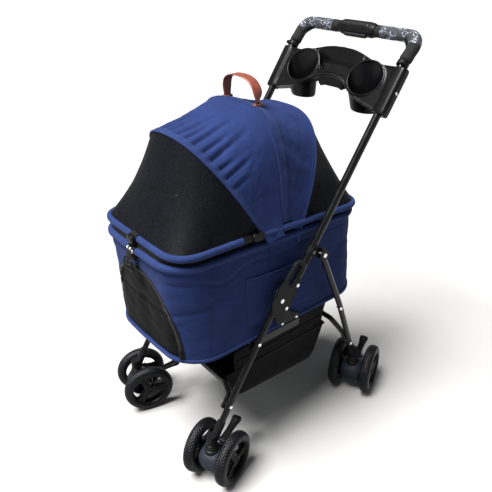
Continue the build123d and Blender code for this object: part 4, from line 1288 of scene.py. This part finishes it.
def net_surface(first, second, steps, belly):
    """Net between two edges of equally spaced points, sinking by belly in its middle."""
    count = min(len(first), len(second))
    rows = []
    for i in range(count):
        a, b = first[i], second[i]
        arch = math.sin(math.pi * i / (count - 1)) ** 0.6
        row = []
        for j in range(steps + 1):
            t = j / steps
            p = a.lerp(b, t)
            way = Vector((p.x * 0.6, 0, p.z - 600)).normalized()
            slack = belly * arch - 1.6 * rough(p.x, p.y, p.z, 55)
            row.append(p - way * (4 * t * (1 - t) * slack))
        rows.append(row)
    shape = Shape()
    shape.grid(rows)
    return shape


def seam_strip(name, v_low, v_high, lift, thick, material, share_low=0.0,
               share_high=1.0, count=160):
    """Band of cloth sewn over the canopy along a hoop."""
    shares = [lerp(share_low, share_high, k / count) for k in range(count + 1)]
    a = [canopy_at(s, v_low, lift) for s in shares]
    b = [canopy_at(s, v_high, lift) for s in shares]
    normals = [p - Vector((0, p.y, CANOPY_MIDDLE_Z)) for p in a]
    return ribbon(a, b, normals, thick).piece(name, "carrier", material)


def canopy_line(v, lift, share_low=0.01, share_high=0.99, count=200):
    return [canopy_at(lerp(share_low, share_high, k / count), v, lift) for k in range(count + 1)]


def net_to_rim(v, end, near):
    """Net between the canopy's hem at v and one half of the upper rim."""
    rim = [p + Vector((0, 0, RIM_TUBE * 0.5)) for p in upper_path(end, near)]
    hem = canopy_line(v, -0.5, 0, 1, 300)
    return net_surface(spread(hem, NET_COUNT), spread(rim, NET_COUNT), NET_STEPS, NET_BELLY)


def make_canopy():
    canopy = canopy_shape().piece("canopy_cloth", "carrier", NAVY)
    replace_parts(canopy, "canopy")
    declare_cloth(canopy, CANOPY_ALONG + 1)
    solidify(canopy, 1.2, 1.0)
    seam_strip("canopy_front_hem", 0.0, 0.085, 1.6, 2.6, NAVY_PIPING)
    seam_strip("canopy_centre_band", 0.97, 1.20, 2.3, 2.4, NAVY_PIPING, 0.03, 0.97)
    seam_strip("canopy_rear_hem", 1.93, 2.0, 1.2, 2.2, NAVY)
    for name, v in (("front", 0.095), ("centre_a", 0.995), ("centre_b", 1.18), ("rear", 1.92)):
        stitches(f"canopy_stitch_{name}", canopy_line(v, 3.4 if "centre" in name else 2.6),
                 "carrier", NAVY_LIGHT)
    for name, v, lift, radius in (("front", 0.0, 1.0, 3.0), ("rear", 2.0, 0.6, 2.6)):
        bead = Shape()
        bead.tube(canopy_line(v, lift, 0, 1, 260), radius, 12)
        bead.piece(f"canopy_{name}_bead", "carrier", NAVY_PIPING)
    for side, label in SIDES:
        flap = Shape()
        rows = []
        for k in range(41):
            t = k / 40
            v = 0.005 + 0.93 * t
            row = [canopy_at(share if side == 1 else 1 - share, v, out)
                   for share, out in ((0.15, 0.0), (0.125, 0.8), (0.10, 1.2),
                                      (0.075, 2.0), (0.05, 3.6))]
            y = lerp(row[-1].y, lerp(-106, -54, t), 0.6)
            low = lerp(588, 601, ease(t * 2.2)) - 2.5 * math.sin(t * 7)
            fold = 1.3 * math.sin(t * 10 + 0.6)
            row += [Vector((side * (171.0 + fold), y, 609)),
                    Vector((side * (173.2 + fold), y, 603)),
                    Vector((side * (173.8 + fold), lerp(-105, -54, t), lerp(603, low, 0.6))),
                    Vector((side * 173.6, lerp(-104, -54, t), low))]
            rows.append(row)
        flap.grid(rows)
        piece = flap.piece(f"canopy_tip_{label}", "carrier", NAVY)
        declare_cloth(piece, len(rows[0]))
        subdivide(piece, 2)
        solidify(piece, 1.4)
    front_net = net_to_rim(0.0, UPPER_FRONT, (HATCH.y - 12, HATCH.z + 0.5)).piece(
        "front_net", None, NET, "black_mesh")
    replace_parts(front_net, "front_mesh")
    declare_cloth(front_net, NET_STEPS + 1)
    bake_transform(front_net)
    rear_net = net_to_rim(2.0, UPPER_REAR,
                          (HATCH.y + 12, HATCH.z - 1)).piece("rear_net", "carrier", NET)
    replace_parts(rear_net, "rear_mesh")
    declare_cloth(rear_net, NET_STEPS + 1)
    finish_cad(STEEL, "canopy_bows")


def make_strap():
    """Leather carry strap: a bent band, narrower and twisted where its ends are sewn down."""
    path = resample([(52, -34, 872), (56.5, -34, 886), (56, -34, 900), (50, -34, 913),
                     (38, -34, 924), (20, -34, 930.5), (0, -34, 932), (-20, -34, 931),
                     (-40, -34, 926), (-52, -34, 917), (-56, -34, 904), (-56, -34, 888),
                     (-54, -34, 872)], 2.5)
    smooth = path
    for _ in range(6):
        smooth = ([smooth[0]]
                  + [(a + b * 2 + c) / 4 for a, b, c in zip(smooth, smooth[1:], smooth[2:])]
                  + [smooth[-1]])
    a, b, normals = [], [], []
    for k, p in enumerate(smooth):
        t = k / (len(smooth) - 1)
        ahead = smooth[min(k + 1, len(smooth) - 1)] - smooth[max(k - 1, 0)]
        end = 1 - ease(min(t, 1 - t) / 0.16)
        twist = math.radians(38) * end * (1 if t < 0.5 else 0.35)
        wide = lerp(12.5, 8.5 if t < 0.5 else 11.5, end)
        across = Matrix.Rotation(twist, 3, "Z") @ Vector((0, 1, 0))
        bow = 0.8 * math.sin(TAU * t * 1.5)
        a.append(p - across * wide + Vector((0, bow, 0)))
        b.append(p + across * wide + Vector((0, bow, 0)))
        normals.append(ahead.normalized().cross(across))
    strap = ribbon(a, b, normals, 3.0).piece("carry_strap", "carrier", TAN)
    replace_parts(strap, "carry_handle")
    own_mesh(strap)
    for label, edge in (("front", a), ("rear", b)):
        other = b if edge is a else a
        line = [p + (q - p).normalized() * 2.6 + n.normalized() * 1.7
                for p, q, n in zip(edge, other, normals)]
        row = stitches(f"strap_stitch_{label}", line, "carrier", TAN_EDGE, 4.2, 2.8, 0.4)
        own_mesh(row)
    for side, label in SIDES:
        patch = Shape()
        patch.loft([[Vector((side * 55 + x, -34 + y, 873 + h))
                     for x, y in superellipse(7 * w, 13 * w, 4, 24)]
                    for h, w in ((-4, 1.0), (3, 1.0), (4, 0.9))])
        patch.piece(f"strap_anchor_{label}", "carrier", TAN_EDGE)


def make_docks():
    """Plates on the side walls that hook the carrier to the frame's rails."""
    outline = [(-80, 352), (-4, 352), (-8, 366), (-40, 384), (-58, 410), (-66, 440),
               (-72, 462), (-90, 462), (-97, 430), (-92, 390)]
    for side, label in SIDES:
        shape = Shape()
        loop = smooth_loop(outline, 2)
        shape.loft([[Vector((side * (173.6 + h), *p))
                     for p in (q * w + Vector((-60, 400)) * (1 - w) for q in loop)]
                    for h, w in ((0, 1), (1.5, 1), (2.2, 0.97))])
        piece = shape.piece(f"dock_plate_{label}", "carrier", PLASTIC)
        if side == 1:
            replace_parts(piece, "docking_arms")


def make_latch():
    """Black webbing wrapped round both rims at the front, with its hanging buckle."""
    for name, centre, body in (("upper", UPPER_FRONT, "hatch"), ("lower", LOWER_FRONT, "carrier")):
        wrap = Shape()
        y = centre[0] - (6 if name == "lower" else 0)
        axis = turned((0, y, centre[1]))
        wrap.lathe([(-14, 8.0), (-14, 10.2), (-13.2, 10.8), (13.2, 10.8), (14, 10.2), (14, 8.0)],
                   axis, 48)
        wrap.piece(f"latch_wrap_{name}", body, BLACK_WEBBING)
    rows_a, rows_b, normals = [], [], []
    drop = [(-358, 601), (-364, 596), (-366.5, 586), (-367, 574), (-366, 562),
            (-363.5, 552), (-360, 544)]
    for p in resample([Vector((0, y, z)) for y, z in drop], 3):
        rows_a.append(p + Vector((-10.5, 0, 0)))
        rows_b.append(p + Vector((10.5, 0, 0)))
        normals.append((0, -1, 0.1))
    ribbon(rows_a, rows_b, normals, 1.8).piece("latch_webbing", "carrier", BLACK_WEBBING)
    buckle = Shape()
    frame_path = rounded_path([(0, -369, 585), (17, -369, 583), (19, -369.5, 560),
                               (-19, -369.5, 560), (-17, -369, 583), (-0.5, -369, 585)], 5, 1.5)
    buckle.tube(frame_path, 2.2, 10)
    buckle.tube([(-17, -370, 572), (0, -370.6, 572), (17, -370, 572)], 1.7, 10)
    buckle.piece("latch_buckle", "carrier", PLASTIC)
    block = Shape()
    block.loft([[Vector((a, -353.6 - h, 596 + b)) for a, b in superellipse(15 * w, 17 * w, 5, 40)]
                for h, w in ((0, 1), (4.6, 1), (5.8, 0.96), (6.2, 0.9))])
    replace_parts(block.piece("latch_block", "carrier", PLASTIC), "latch_lower")
    hasp = Shape()
    hasp.loft([[Vector((a, -351 - h, 629 + b)) for a, b in superellipse(13.5 * w, 10 * w, 4, 40)]
               for h, w in ((0, 1), (6.0, 1), (7.4, 0.96), (8.2, 0.86))])
    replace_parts(hasp.piece("latch_hasp", "hatch", PLASTIC), "latch_upper")
    domes = Shape()
    for x in (-11, 0):
        place = turned((x, -359.4, 606), 90, "X")
        domes.lathe([(0, 3.9), (0.8, 3.8), (1.8, 3.0), (2.4, 1.8), (2.7, 0.1)], place, 28)
    ring = [Vector((11 + 3.1 * c, -361.2, 604 + 3.4 * s)) for c, s in circle(24)]
    domes.tube(ring, 1.0, 8, closed=True)
    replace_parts(domes.piece("latch_domes", "carrier", BRIGHT), "latch_rivets")
    for side, label in SIDES:
        studs = Shape()
        for y in (-64, -17):
            place = turned((side * 175.4, y, 357), 90 * side)
            studs.lathe([(0, 4.2), (0.7, 4.1), (1.7, 3.2), (2.3, 1.8), (2.5, 0.1)], place, 28)
        studs.piece(f"floor_studs_{label}", "carrier", BRIGHT)


# ------------------------------------------------------------------------- tray
BAR_LOW, BAR_BEND = Vector((0, -78.0, 409.0)), Vector((0, 291.5, 925.0))
BAR_WAY = (BAR_BEND - BAR_LOW).normalized()
BAR_X = 185.5
HANDLE, HANDLE_X, HANDLE_BEND = Vector((0, 350.0, 985.0)), 188.0, 62.0
TRAY_FOOT = Vector((0, 221.0, 826.0))
TRAY_OUT = Vector((0, -BAR_WAY.z, BAR_WAY.y))
DECK = 7.0
REAR_EDGE = [(0, 143), (20, 142.5), (40, 141), (60, 137), (80, 131), (100, 125), (122, 119),
             (140, 117), (162, 118), (180, 121)]
FRONT_EDGE = [(0, 66), (25, 63), (50, 54), (75, 38), (100, 25), (125, 17), (150, 11),
              (168, 7), (180, 4)]
CUP_X, CUP_V, CUP_FLOOR = 108.0, 78.0, 812.0
CUP_MOUTH, CUP_BASE, CUP_WALL = (53, 46), (38, 26), 4.0
TRAY_VOXEL = 1.6


def tray_at(x, v, n=0.0):
    """Tray plane: x across, v up along the bars, n forward and up."""
    return TRAY_FOOT + BAR_WAY * v + TRAY_OUT * n + Vector((x, 0, 0))


def mirrored(points):
    """A half outline from the middle out, made whole from its -X end to its +X end."""
    return [(-x, v) for x, v in reversed(points[1:])] + list(points)


def tray_loop(inset=0.0):
    """The deck's outline, round by the rear edge and back along the front one."""
    rear = [(x - inset * clamp(x / 60), v - inset) for x, v in REAR_EDGE]
    front = [(x - inset * clamp(x / 60), v + inset) for x, v in FRONT_EDGE]
    return mirrored(rear) + mirrored(front)[::-1]


def drop_loops(points, n, levels):
    """A loop in the tray's plane, repeated straight down at (drop, grow) levels."""
    points = [Vector(p) for p in points]
    middle = sum(points, Vector((0, 0))) / len(points)
    return [[tray_at(*(p + (p - middle).normalized() * grow), n) - Vector((0, 0, drop))
             for p in points]
            for drop, grow in levels]


def cup_loops(side, grow=0.0, floor=0.0, above=0.0):
    """Rings of a cup well, from its level floor up to its slanted mouth in the tray's plane."""
    centre = tray_at(side * CUP_X, CUP_V, DECK)
    loops = []
    for share in (0, 0.06, 0.5, 1.0):
        ring = []
        for c, w in circle(64):
            r = lerp(0.92, 1.0, ease(share / 0.06)) if share < 0.5 else 1.0
            low = Vector((side * CUP_X + (CUP_BASE[0] + grow) * c * r,
                          centre.y + 4 + (CUP_BASE[1] + grow) * w * r, CUP_FLOOR + floor))
            high = tray_at(side * CUP_X + (CUP_MOUTH[0] + grow) * c,
                           CUP_V + (CUP_MOUTH[1] + grow) * w, DECK)
            ring.append(low.lerp(high, share))
        loops.append(ring)
    if above:
        loops.append([p + TRAY_OUT * above for p in loops[-1]])
    return loops


def plane_loops(points, levels):
    """A loop in the tray's plane, repeated at (n, scale) levels about its own middle."""
    points = [Vector(p) for p in points]
    middle = sum(points, Vector((0, 0))) / len(points)
    return [[tray_at(*(middle + (p - middle) * scale), n) for p in points] for n, scale in levels]


def smooth_loop(points, rounds):
    points = [Vector(p) for p in points]
    for _ in range(rounds):
        points = [q for a, b in zip(points, points[1:] + points[:1])
                  for q in (a.lerp(b, 0.25), a.lerp(b, 0.75))]
    return points


POCKET = smooth_loop([(0, 77), (32, 73), (45, 74), (53, 92), (66, 112), (80, 123), (66, 130),
                      (36, 135), (0, 137), (-36, 135), (-66, 130), (-80, 123), (-66, 112),
                      (-53, 92), (-45, 74), (-32, 73)], 2)


def lip(shape, points, radius):
    shape.tube(points, radius, 10, closed=True)


def make_tray():
    """Moulded tray: deck, two cup wells, a kidney pocket, rolled lips and cheeks round the bars."""
    solid, hollow = Shape(), Shape()
    solid.loft(plane_loops(tray_loop(), ((DECK, 0.995), (DECK - 2, 1.0), (-8, 1.0), (-19, 0.985))))
    hollow.loft(plane_loops(tray_loop(6.5), ((DECK - 5.5, 1.0), (-60, 1.0))))
    wells, cavities = Shape(), Shape()
    wells.loft(drop_loops(POCKET, DECK, ((-0.5, 4), (24, 3.4), (38, 1.5))))
    cavities.loft(drop_loops(POCKET, DECK, ((-14, 0), (-1, -0.5), (8, -2.5), (28, -4), (32, -8))))
    for side in (1, -1):
        wells.loft(cup_loops(side))
        cavities.loft(cup_loops(side, -CUP_WALL, CUP_WALL, 14))
        rim = [tray_at(side * CUP_X + 51.5 * c, CUP_V + 44.5 * s, DECK + 0.6)
               for c, s in circle(72)]
        lip(wells, rim, 3.0)
        cheek = []
        for v, w in ((1, 0.86), (4, 0.97), (10, 1.0), (60, 1.0), (112, 1.0),
                     (119, 0.97), (122, 0.86)):
            cheek.append([tray_at(side * 190.5 + a * w, v, -3 + b * w)
                          for a, b in superellipse(16, 14.5, 3.6, 44)])
        wells.loft(cheek)
    lip(wells, [tray_at(p.x, p.y, DECK + 0.2) for p in POCKET], 2.4)
    edge = [tray_at(p.x, p.y, DECK - 1.0) for p in smooth_loop(tray_loop(1.5), 1)]
    lip(wells, edge, 3.0)
    deck = voxel(solid.piece("tray_moulding", None, GLOSS_PLASTIC), TRAY_VOXEL)
    deck = cut(deck, voxel(hollow.piece("tray_hollow", None, GLOSS_PLASTIC), TRAY_VOXEL))
    parts = wells.piece("tray_wells", None, GLOSS_PLASTIC)
    with bpy.context.temp_override(active_object=deck, selected_editable_objects=[deck, parts]):
        bpy.ops.object.join()
    deck = voxel(deck, TRAY_VOXEL)
    deck = cut(deck, voxel(cavities.piece("tray_cavities", None, GLOSS_PLASTIC), TRAY_VOXEL))
    deck = voxel(deck, TRAY_VOXEL, 6)
    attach(deck, "push_bar")
    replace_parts(deck, "parent_tray")
    for side, label in SIDES:
        place = turned(tray_at(side * 206.3, 60, -3), 90 * side)
        screw_shape(place, 4.0).piece(f"tray_screw_{label}", "push_bar", STEEL)


# ------------------------------------------------------------- handle and grips
GRIP_R, FILM_R = 15.2, 16.4
SWITCH_HALF, SWITCH_R, SWITCH_SWELL = 59, 15.4, 3.1
SWITCH_BAR_OUT, SWITCH_RIB_OUT = 18.9, 23.4


def grip_path(side):
    start = BAR_BEND + (HANDLE - BAR_BEND).normalized() * 16
    return rounded_path([(side * (BAR_X + 0.4), start.y, start.z),
                         (side * HANDLE_X, HANDLE.y, HANDLE.z), (side * 60, HANDLE.y, HANDLE.z)],
                         HANDLE_BEND, 2.5)


def make_grips():
    for side, label in SIDES:
        path = grip_path(side)
        grip = Shape()
        rings = tube_rings(path, lambda t: GRIP_R - 2.2 * ease(abs(t - 0.5) * 40 - 19)
                           + 0.25 * math.sin(t * 37), 36)
        for ring in rings:
            for k, p in enumerate(ring):
                ring[k] = p + Vector((0, 0, 0.35)) * rough(p.x, p.y, p.z, 14)
        grip.loft(rings)
        piece = grip.piece(f"foam_grip_{label}", "push_bar", FOAM)
        if side == 1:
            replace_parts(piece, "handle_grips")
        wrapped = path[int(len(path) * 0.24):int(len(path) * 0.90)]
        # Film round the grip; its material paints glint streaks on the folds.
        film = Shape()
        rings = tube_rings(wrapped, FILM_R, 72)
        for i, ring in enumerate(rings):
            for k, p in enumerate(ring):
                way = (p - wrapped[i]).normalized()
                fold = 1 - abs(rough(p.x, p.y, p.z, 24)) * 4
                ring[k] = p + way * (1.2 * ease(fold) + 0.3 * rough(p.x * 2, p.y, p.z, 11))
        film.grid(rings, wrap_columns=True)
        film.piece(f"grip_film_{label}", "push_bar", FILM)
        collar = Shape()
        along = (HANDLE - BAR_BEND).normalized()
        foot = BAR_BEND + along * 2.5 + Vector((side * (BAR_X + 0.1), 0, 0))
        turn = along.to_track_quat("Z", "X").to_matrix().to_4x4()
        place = Matrix.Translation(foot) @ turn
        collar.lathe([(0, 10), (0, 13.6), (1, 14.6), (5, 14.8), (6, 14.0), (7, 14.8),
                      (11.5, 14.6), (12.5, 13.4), (12.5, 10)], place, 56)
        knob = turned(foot + along * 6 + Vector((side * 9, 0, 0)) + TRAY_OUT * 12, 90, "X")
        collar.lathe([(-5, 0.1), (-5, 3.6), (-4, 4.6), (3, 4.6), (4.4, 3.8), (4.8, 0.1)], knob, 24)
        piece = collar.piece(f"grip_collar_{label}", "push_bar", PLASTIC)
        if side == 1:
            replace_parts(piece, "grip_collars")


def make_fold_switch():
    """Housing of the one-hand fold: a swollen sleeve with a ribbed finger plate and end collars."""
    body = Shape()
    rows = []
    for x in range(-SWITCH_HALF, SWITCH_HALF + 1):
        swell = (SWITCH_R + SWITCH_SWELL * ease((58.5 - abs(x)) / 11)
                 - 0.9 * bump_at(abs(x), 52, 1.6))
        edge = 70 - 9 * abs(math.sin((x + 4) * math.pi / 15.5))
        row = []
        for k in range(120):
            turn = 3.0 * k - 180
            plate = (ease((edge - turn) / 3) * ease((turn + 28) / 3) * ease((40 - x) / 2)
                     * ease((x + 46) / 2))
            rib = (0.35 * math.cos(x * TAU / 5.2) * plate * ease((turn - 5) / 8)
                   * ease((48 - turn) / 8))
            r = swell + 1.0 * plate + rib
            a = math.radians(turn)
            row.append((x, HANDLE.y - r * math.sin(a), HANDLE.z + r * math.cos(a)))
        rows.append(row)
    body.loft(rows)
    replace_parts(body.piece("fold_switch_housing", "push_bar", PLASTIC), "trigger_housing")
    bar = Shape()
    way = Vector((0, -math.sqrt(0.5), -math.sqrt(0.5)))
    side = Vector((0, math.sqrt(0.5), -math.sqrt(0.5)))
    loops = []
    for x, w in ((-36, 0.8), (-34, 0.95), (-30, 1), (-18, 1), (0, 1), (18, 1), (30, 1),
                 (34, 0.95), (36, 0.8)):
        loops.append([HANDLE + Vector((x, 0, 0)) + way * (SWITCH_BAR_OUT + 0.9 * a * w)
                      + side * (b * w)
                      for a, b in superellipse(4.6, 6.0, 3.2, 28)])
    bar.loft(loops)
    for k in range(7):
        x = -24 + 8 * k
        bar.tube([HANDLE + Vector((x, 0, 0)) + way * (SWITCH_RIB_OUT - 0.022 * b * b) + side * b
                  for b in range(-4, 5, 2)], 0.7, 6)
    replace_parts(bar.piece("fold_switch_bar", "fold_trigger", PLASTIC_GREY), "fold_trigger")


# ----------------------------------------------------------------------- basket
BASKET = [(-221, 243), (-190, 178), (-172, 172), (66, 160), (82, 180), (112, 262)]
BASKET_TOP, BASKET_HALF, BASKET_WALL = 262.0, 150.0, 0.62
BASKET_ROWS, SIDE_ROWS, SIDE_COLUMNS = 80, 40, 10


def make_basket():
    """Hanging cloth basket: sagging floor, bound top edge, and side panels above it."""
    floor = rounded_path([(0, y, z) for y, z in BASKET], 16, 4)
    rows = []
    for k in range(BASKET_ROWS + 1):
        across = 2 * (k / BASKET_ROWS) - 1
        wall = ease((abs(across) - BASKET_WALL) / (1 - BASKET_WALL))
        row = []
        for p in floor:
            deep = clamp((BASKET_TOP - p.z) / 90)
            if wall < 1e-6:
                z = p.z - 5 * (1 - across * across) * deep + 1.5 * rough(across * 90, p.y, p.z, 40)
                row.append((across / BASKET_WALL * (BASKET_HALF - 6), p.y, z))
            else:
                lift = (abs(across) - BASKET_WALL) / (1 - BASKET_WALL)
                x = math.copysign(BASKET_HALF - 6 + 6 * ease(lift * 4), across)
                x -= math.copysign(3.5 * math.sin(math.pi * lift)
                                   * (1 + rough(x, p.y, lift * 60, 45)), across)
                row.append((x, p.y, lerp(p.z, BASKET_TOP, lift)
                            + 0.6 * rough(x, p.y, lift * 70, 22)))
        rows.append(row)
    shape = Shape()
    shape.grid(rows)
    pieces = [shape.piece("basket_cloth", "front_frame", BLACK_CLOTH)]
    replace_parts(pieces[0], "basket")
    declare_cloth(pieces[0], len(floor))
    solidify(pieces[0], 2.2)
    hem = Shape()
    rim = rows[0] + [row[-1] for row in rows[1:]]
    rim += rows[-1][::-1] + [row[0] for row in rows[-2:0:-1]]
    hem.tube(resample([Vector(p) for p in rim] + [Vector(rim[0])], 4)[:-1], 3.0, 10, closed=True)
    pieces.append(hem.piece("basket_binding", "front_frame", BLACK_WEBBING))
    for side, label in SIDES:
        panel = Shape()
        grid = []
        for i in range(SIDE_ROWS + 1):
            y = lerp(-196, 96, i / SIDE_ROWS)
            low = BASKET_TOP - 6 - 4 * math.sin(math.pi * i / SIDE_ROWS)
            high = lerp(330, 341, i / SIDE_ROWS)
            grid.append([(side * (BASKET_HALF + lerp(0, 8, j / SIDE_COLUMNS)
                                  - 2 * math.sin(math.pi * j / SIDE_COLUMNS)),
                          y + 0.05 * (y + 60) * j / SIDE_COLUMNS, lerp(low, high, j / SIDE_COLUMNS))
                         for j in range(SIDE_COLUMNS + 1)])
        panel.grid(grid)
        side_panel = panel.piece(f"basket_side_{label}", "front_frame", BLACK_CLOTH)
        declare_cloth(side_panel, SIDE_COLUMNS + 1)
        pieces.append(solidify(side_panel, 1.4))
        seam = Shape()
        for path in (grid[0], grid[-1], [row[5] for row in grid]):
            seam.tube([Vector(p) + Vector((side * 1.0, 0, 0)) for p in path], 1.6, 8)
        pieces.append(seam.piece(f"basket_seams_{label}", "front_frame", BLACK_WEBBING))
    for piece in pieces:
        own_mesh(piece)


# --------------------------------------------------------------------- fold joint
LOOP_CENTRE, LOOP_ANGLE, LOOP_LONG, LOOP_WIDE = (-45.0, 501.5), 48.0, 78.0, 40.0


def slot_path(long, wide, x, count=72):
    """Closed slot outline on the fold plate, in the plane at x."""
    turn = math.radians(LOOP_ANGLE)
    out, r = [], wide / 2
    for k in range(count):
        angle = TAU * k / count
        u = math.copysign((long - wide) / 2, math.cos(angle)) + r * math.cos(angle)
        w = r * math.sin(angle)
        y = LOOP_CENTRE[0] + u * math.cos(turn) - w * math.sin(turn)
        z = LOOP_CENTRE[1] + u * math.sin(turn) + w * math.cos(turn)
        out.append(Vector((x, y, z)))
    return out


def make_fold_joint():
    for side, label in SIDES:
        trim = Shape()
        trim.tube(slot_path(LOOP_LONG - 5, LOOP_WIDE - 5, side * 196.6), 2.2, 10, closed=True)
        trim.tube(slot_path(58, 19, side * 196.8), 1.4, 8, closed=True)
        ridge = [(-100, 484), (-113, 448), (-114, 426), (-103, 409), (-84, 407.5), (-63, 419.5),
                 (-44, 448), (-26, 480)]
        trim.tube(rounded_path([(side * 196.6, y, z) for y, z in ridge], 8, 2.5), 1.5, 8)
        trim.piece(f"fold_trim_{label}", "push_bar", PLASTIC_GREY)


# ------------------------------------------------------------------------ build
make_camera()
make_stage()
make_casters()
make_tub()
make_door()
make_pockets()
make_rims()
make_cushion()
make_canopy()
make_strap()
make_latch()
make_docks()
make_tray()
make_grips()
make_fold_switch()
make_basket()
make_fold_joint()
finish_cad(PAINT, "front_leg_left", "front_leg_right", "front_cross_tube", "push_bar_tube",
           "rear_leg_left",
           "rear_leg_right", "rear_cross_tube", "dock_rails")
finish_cad(PLASTIC, "front_leg_feet", "rear_leg_feet", "fold_plate_left", "fold_plate_right",
           "rear_leg_brackets",
           "fold_locks", "rim_connectors")
finish_cad(BRIGHT, "front_frame_rivets", "push_bar_fasteners", "rear_frame_rivets")
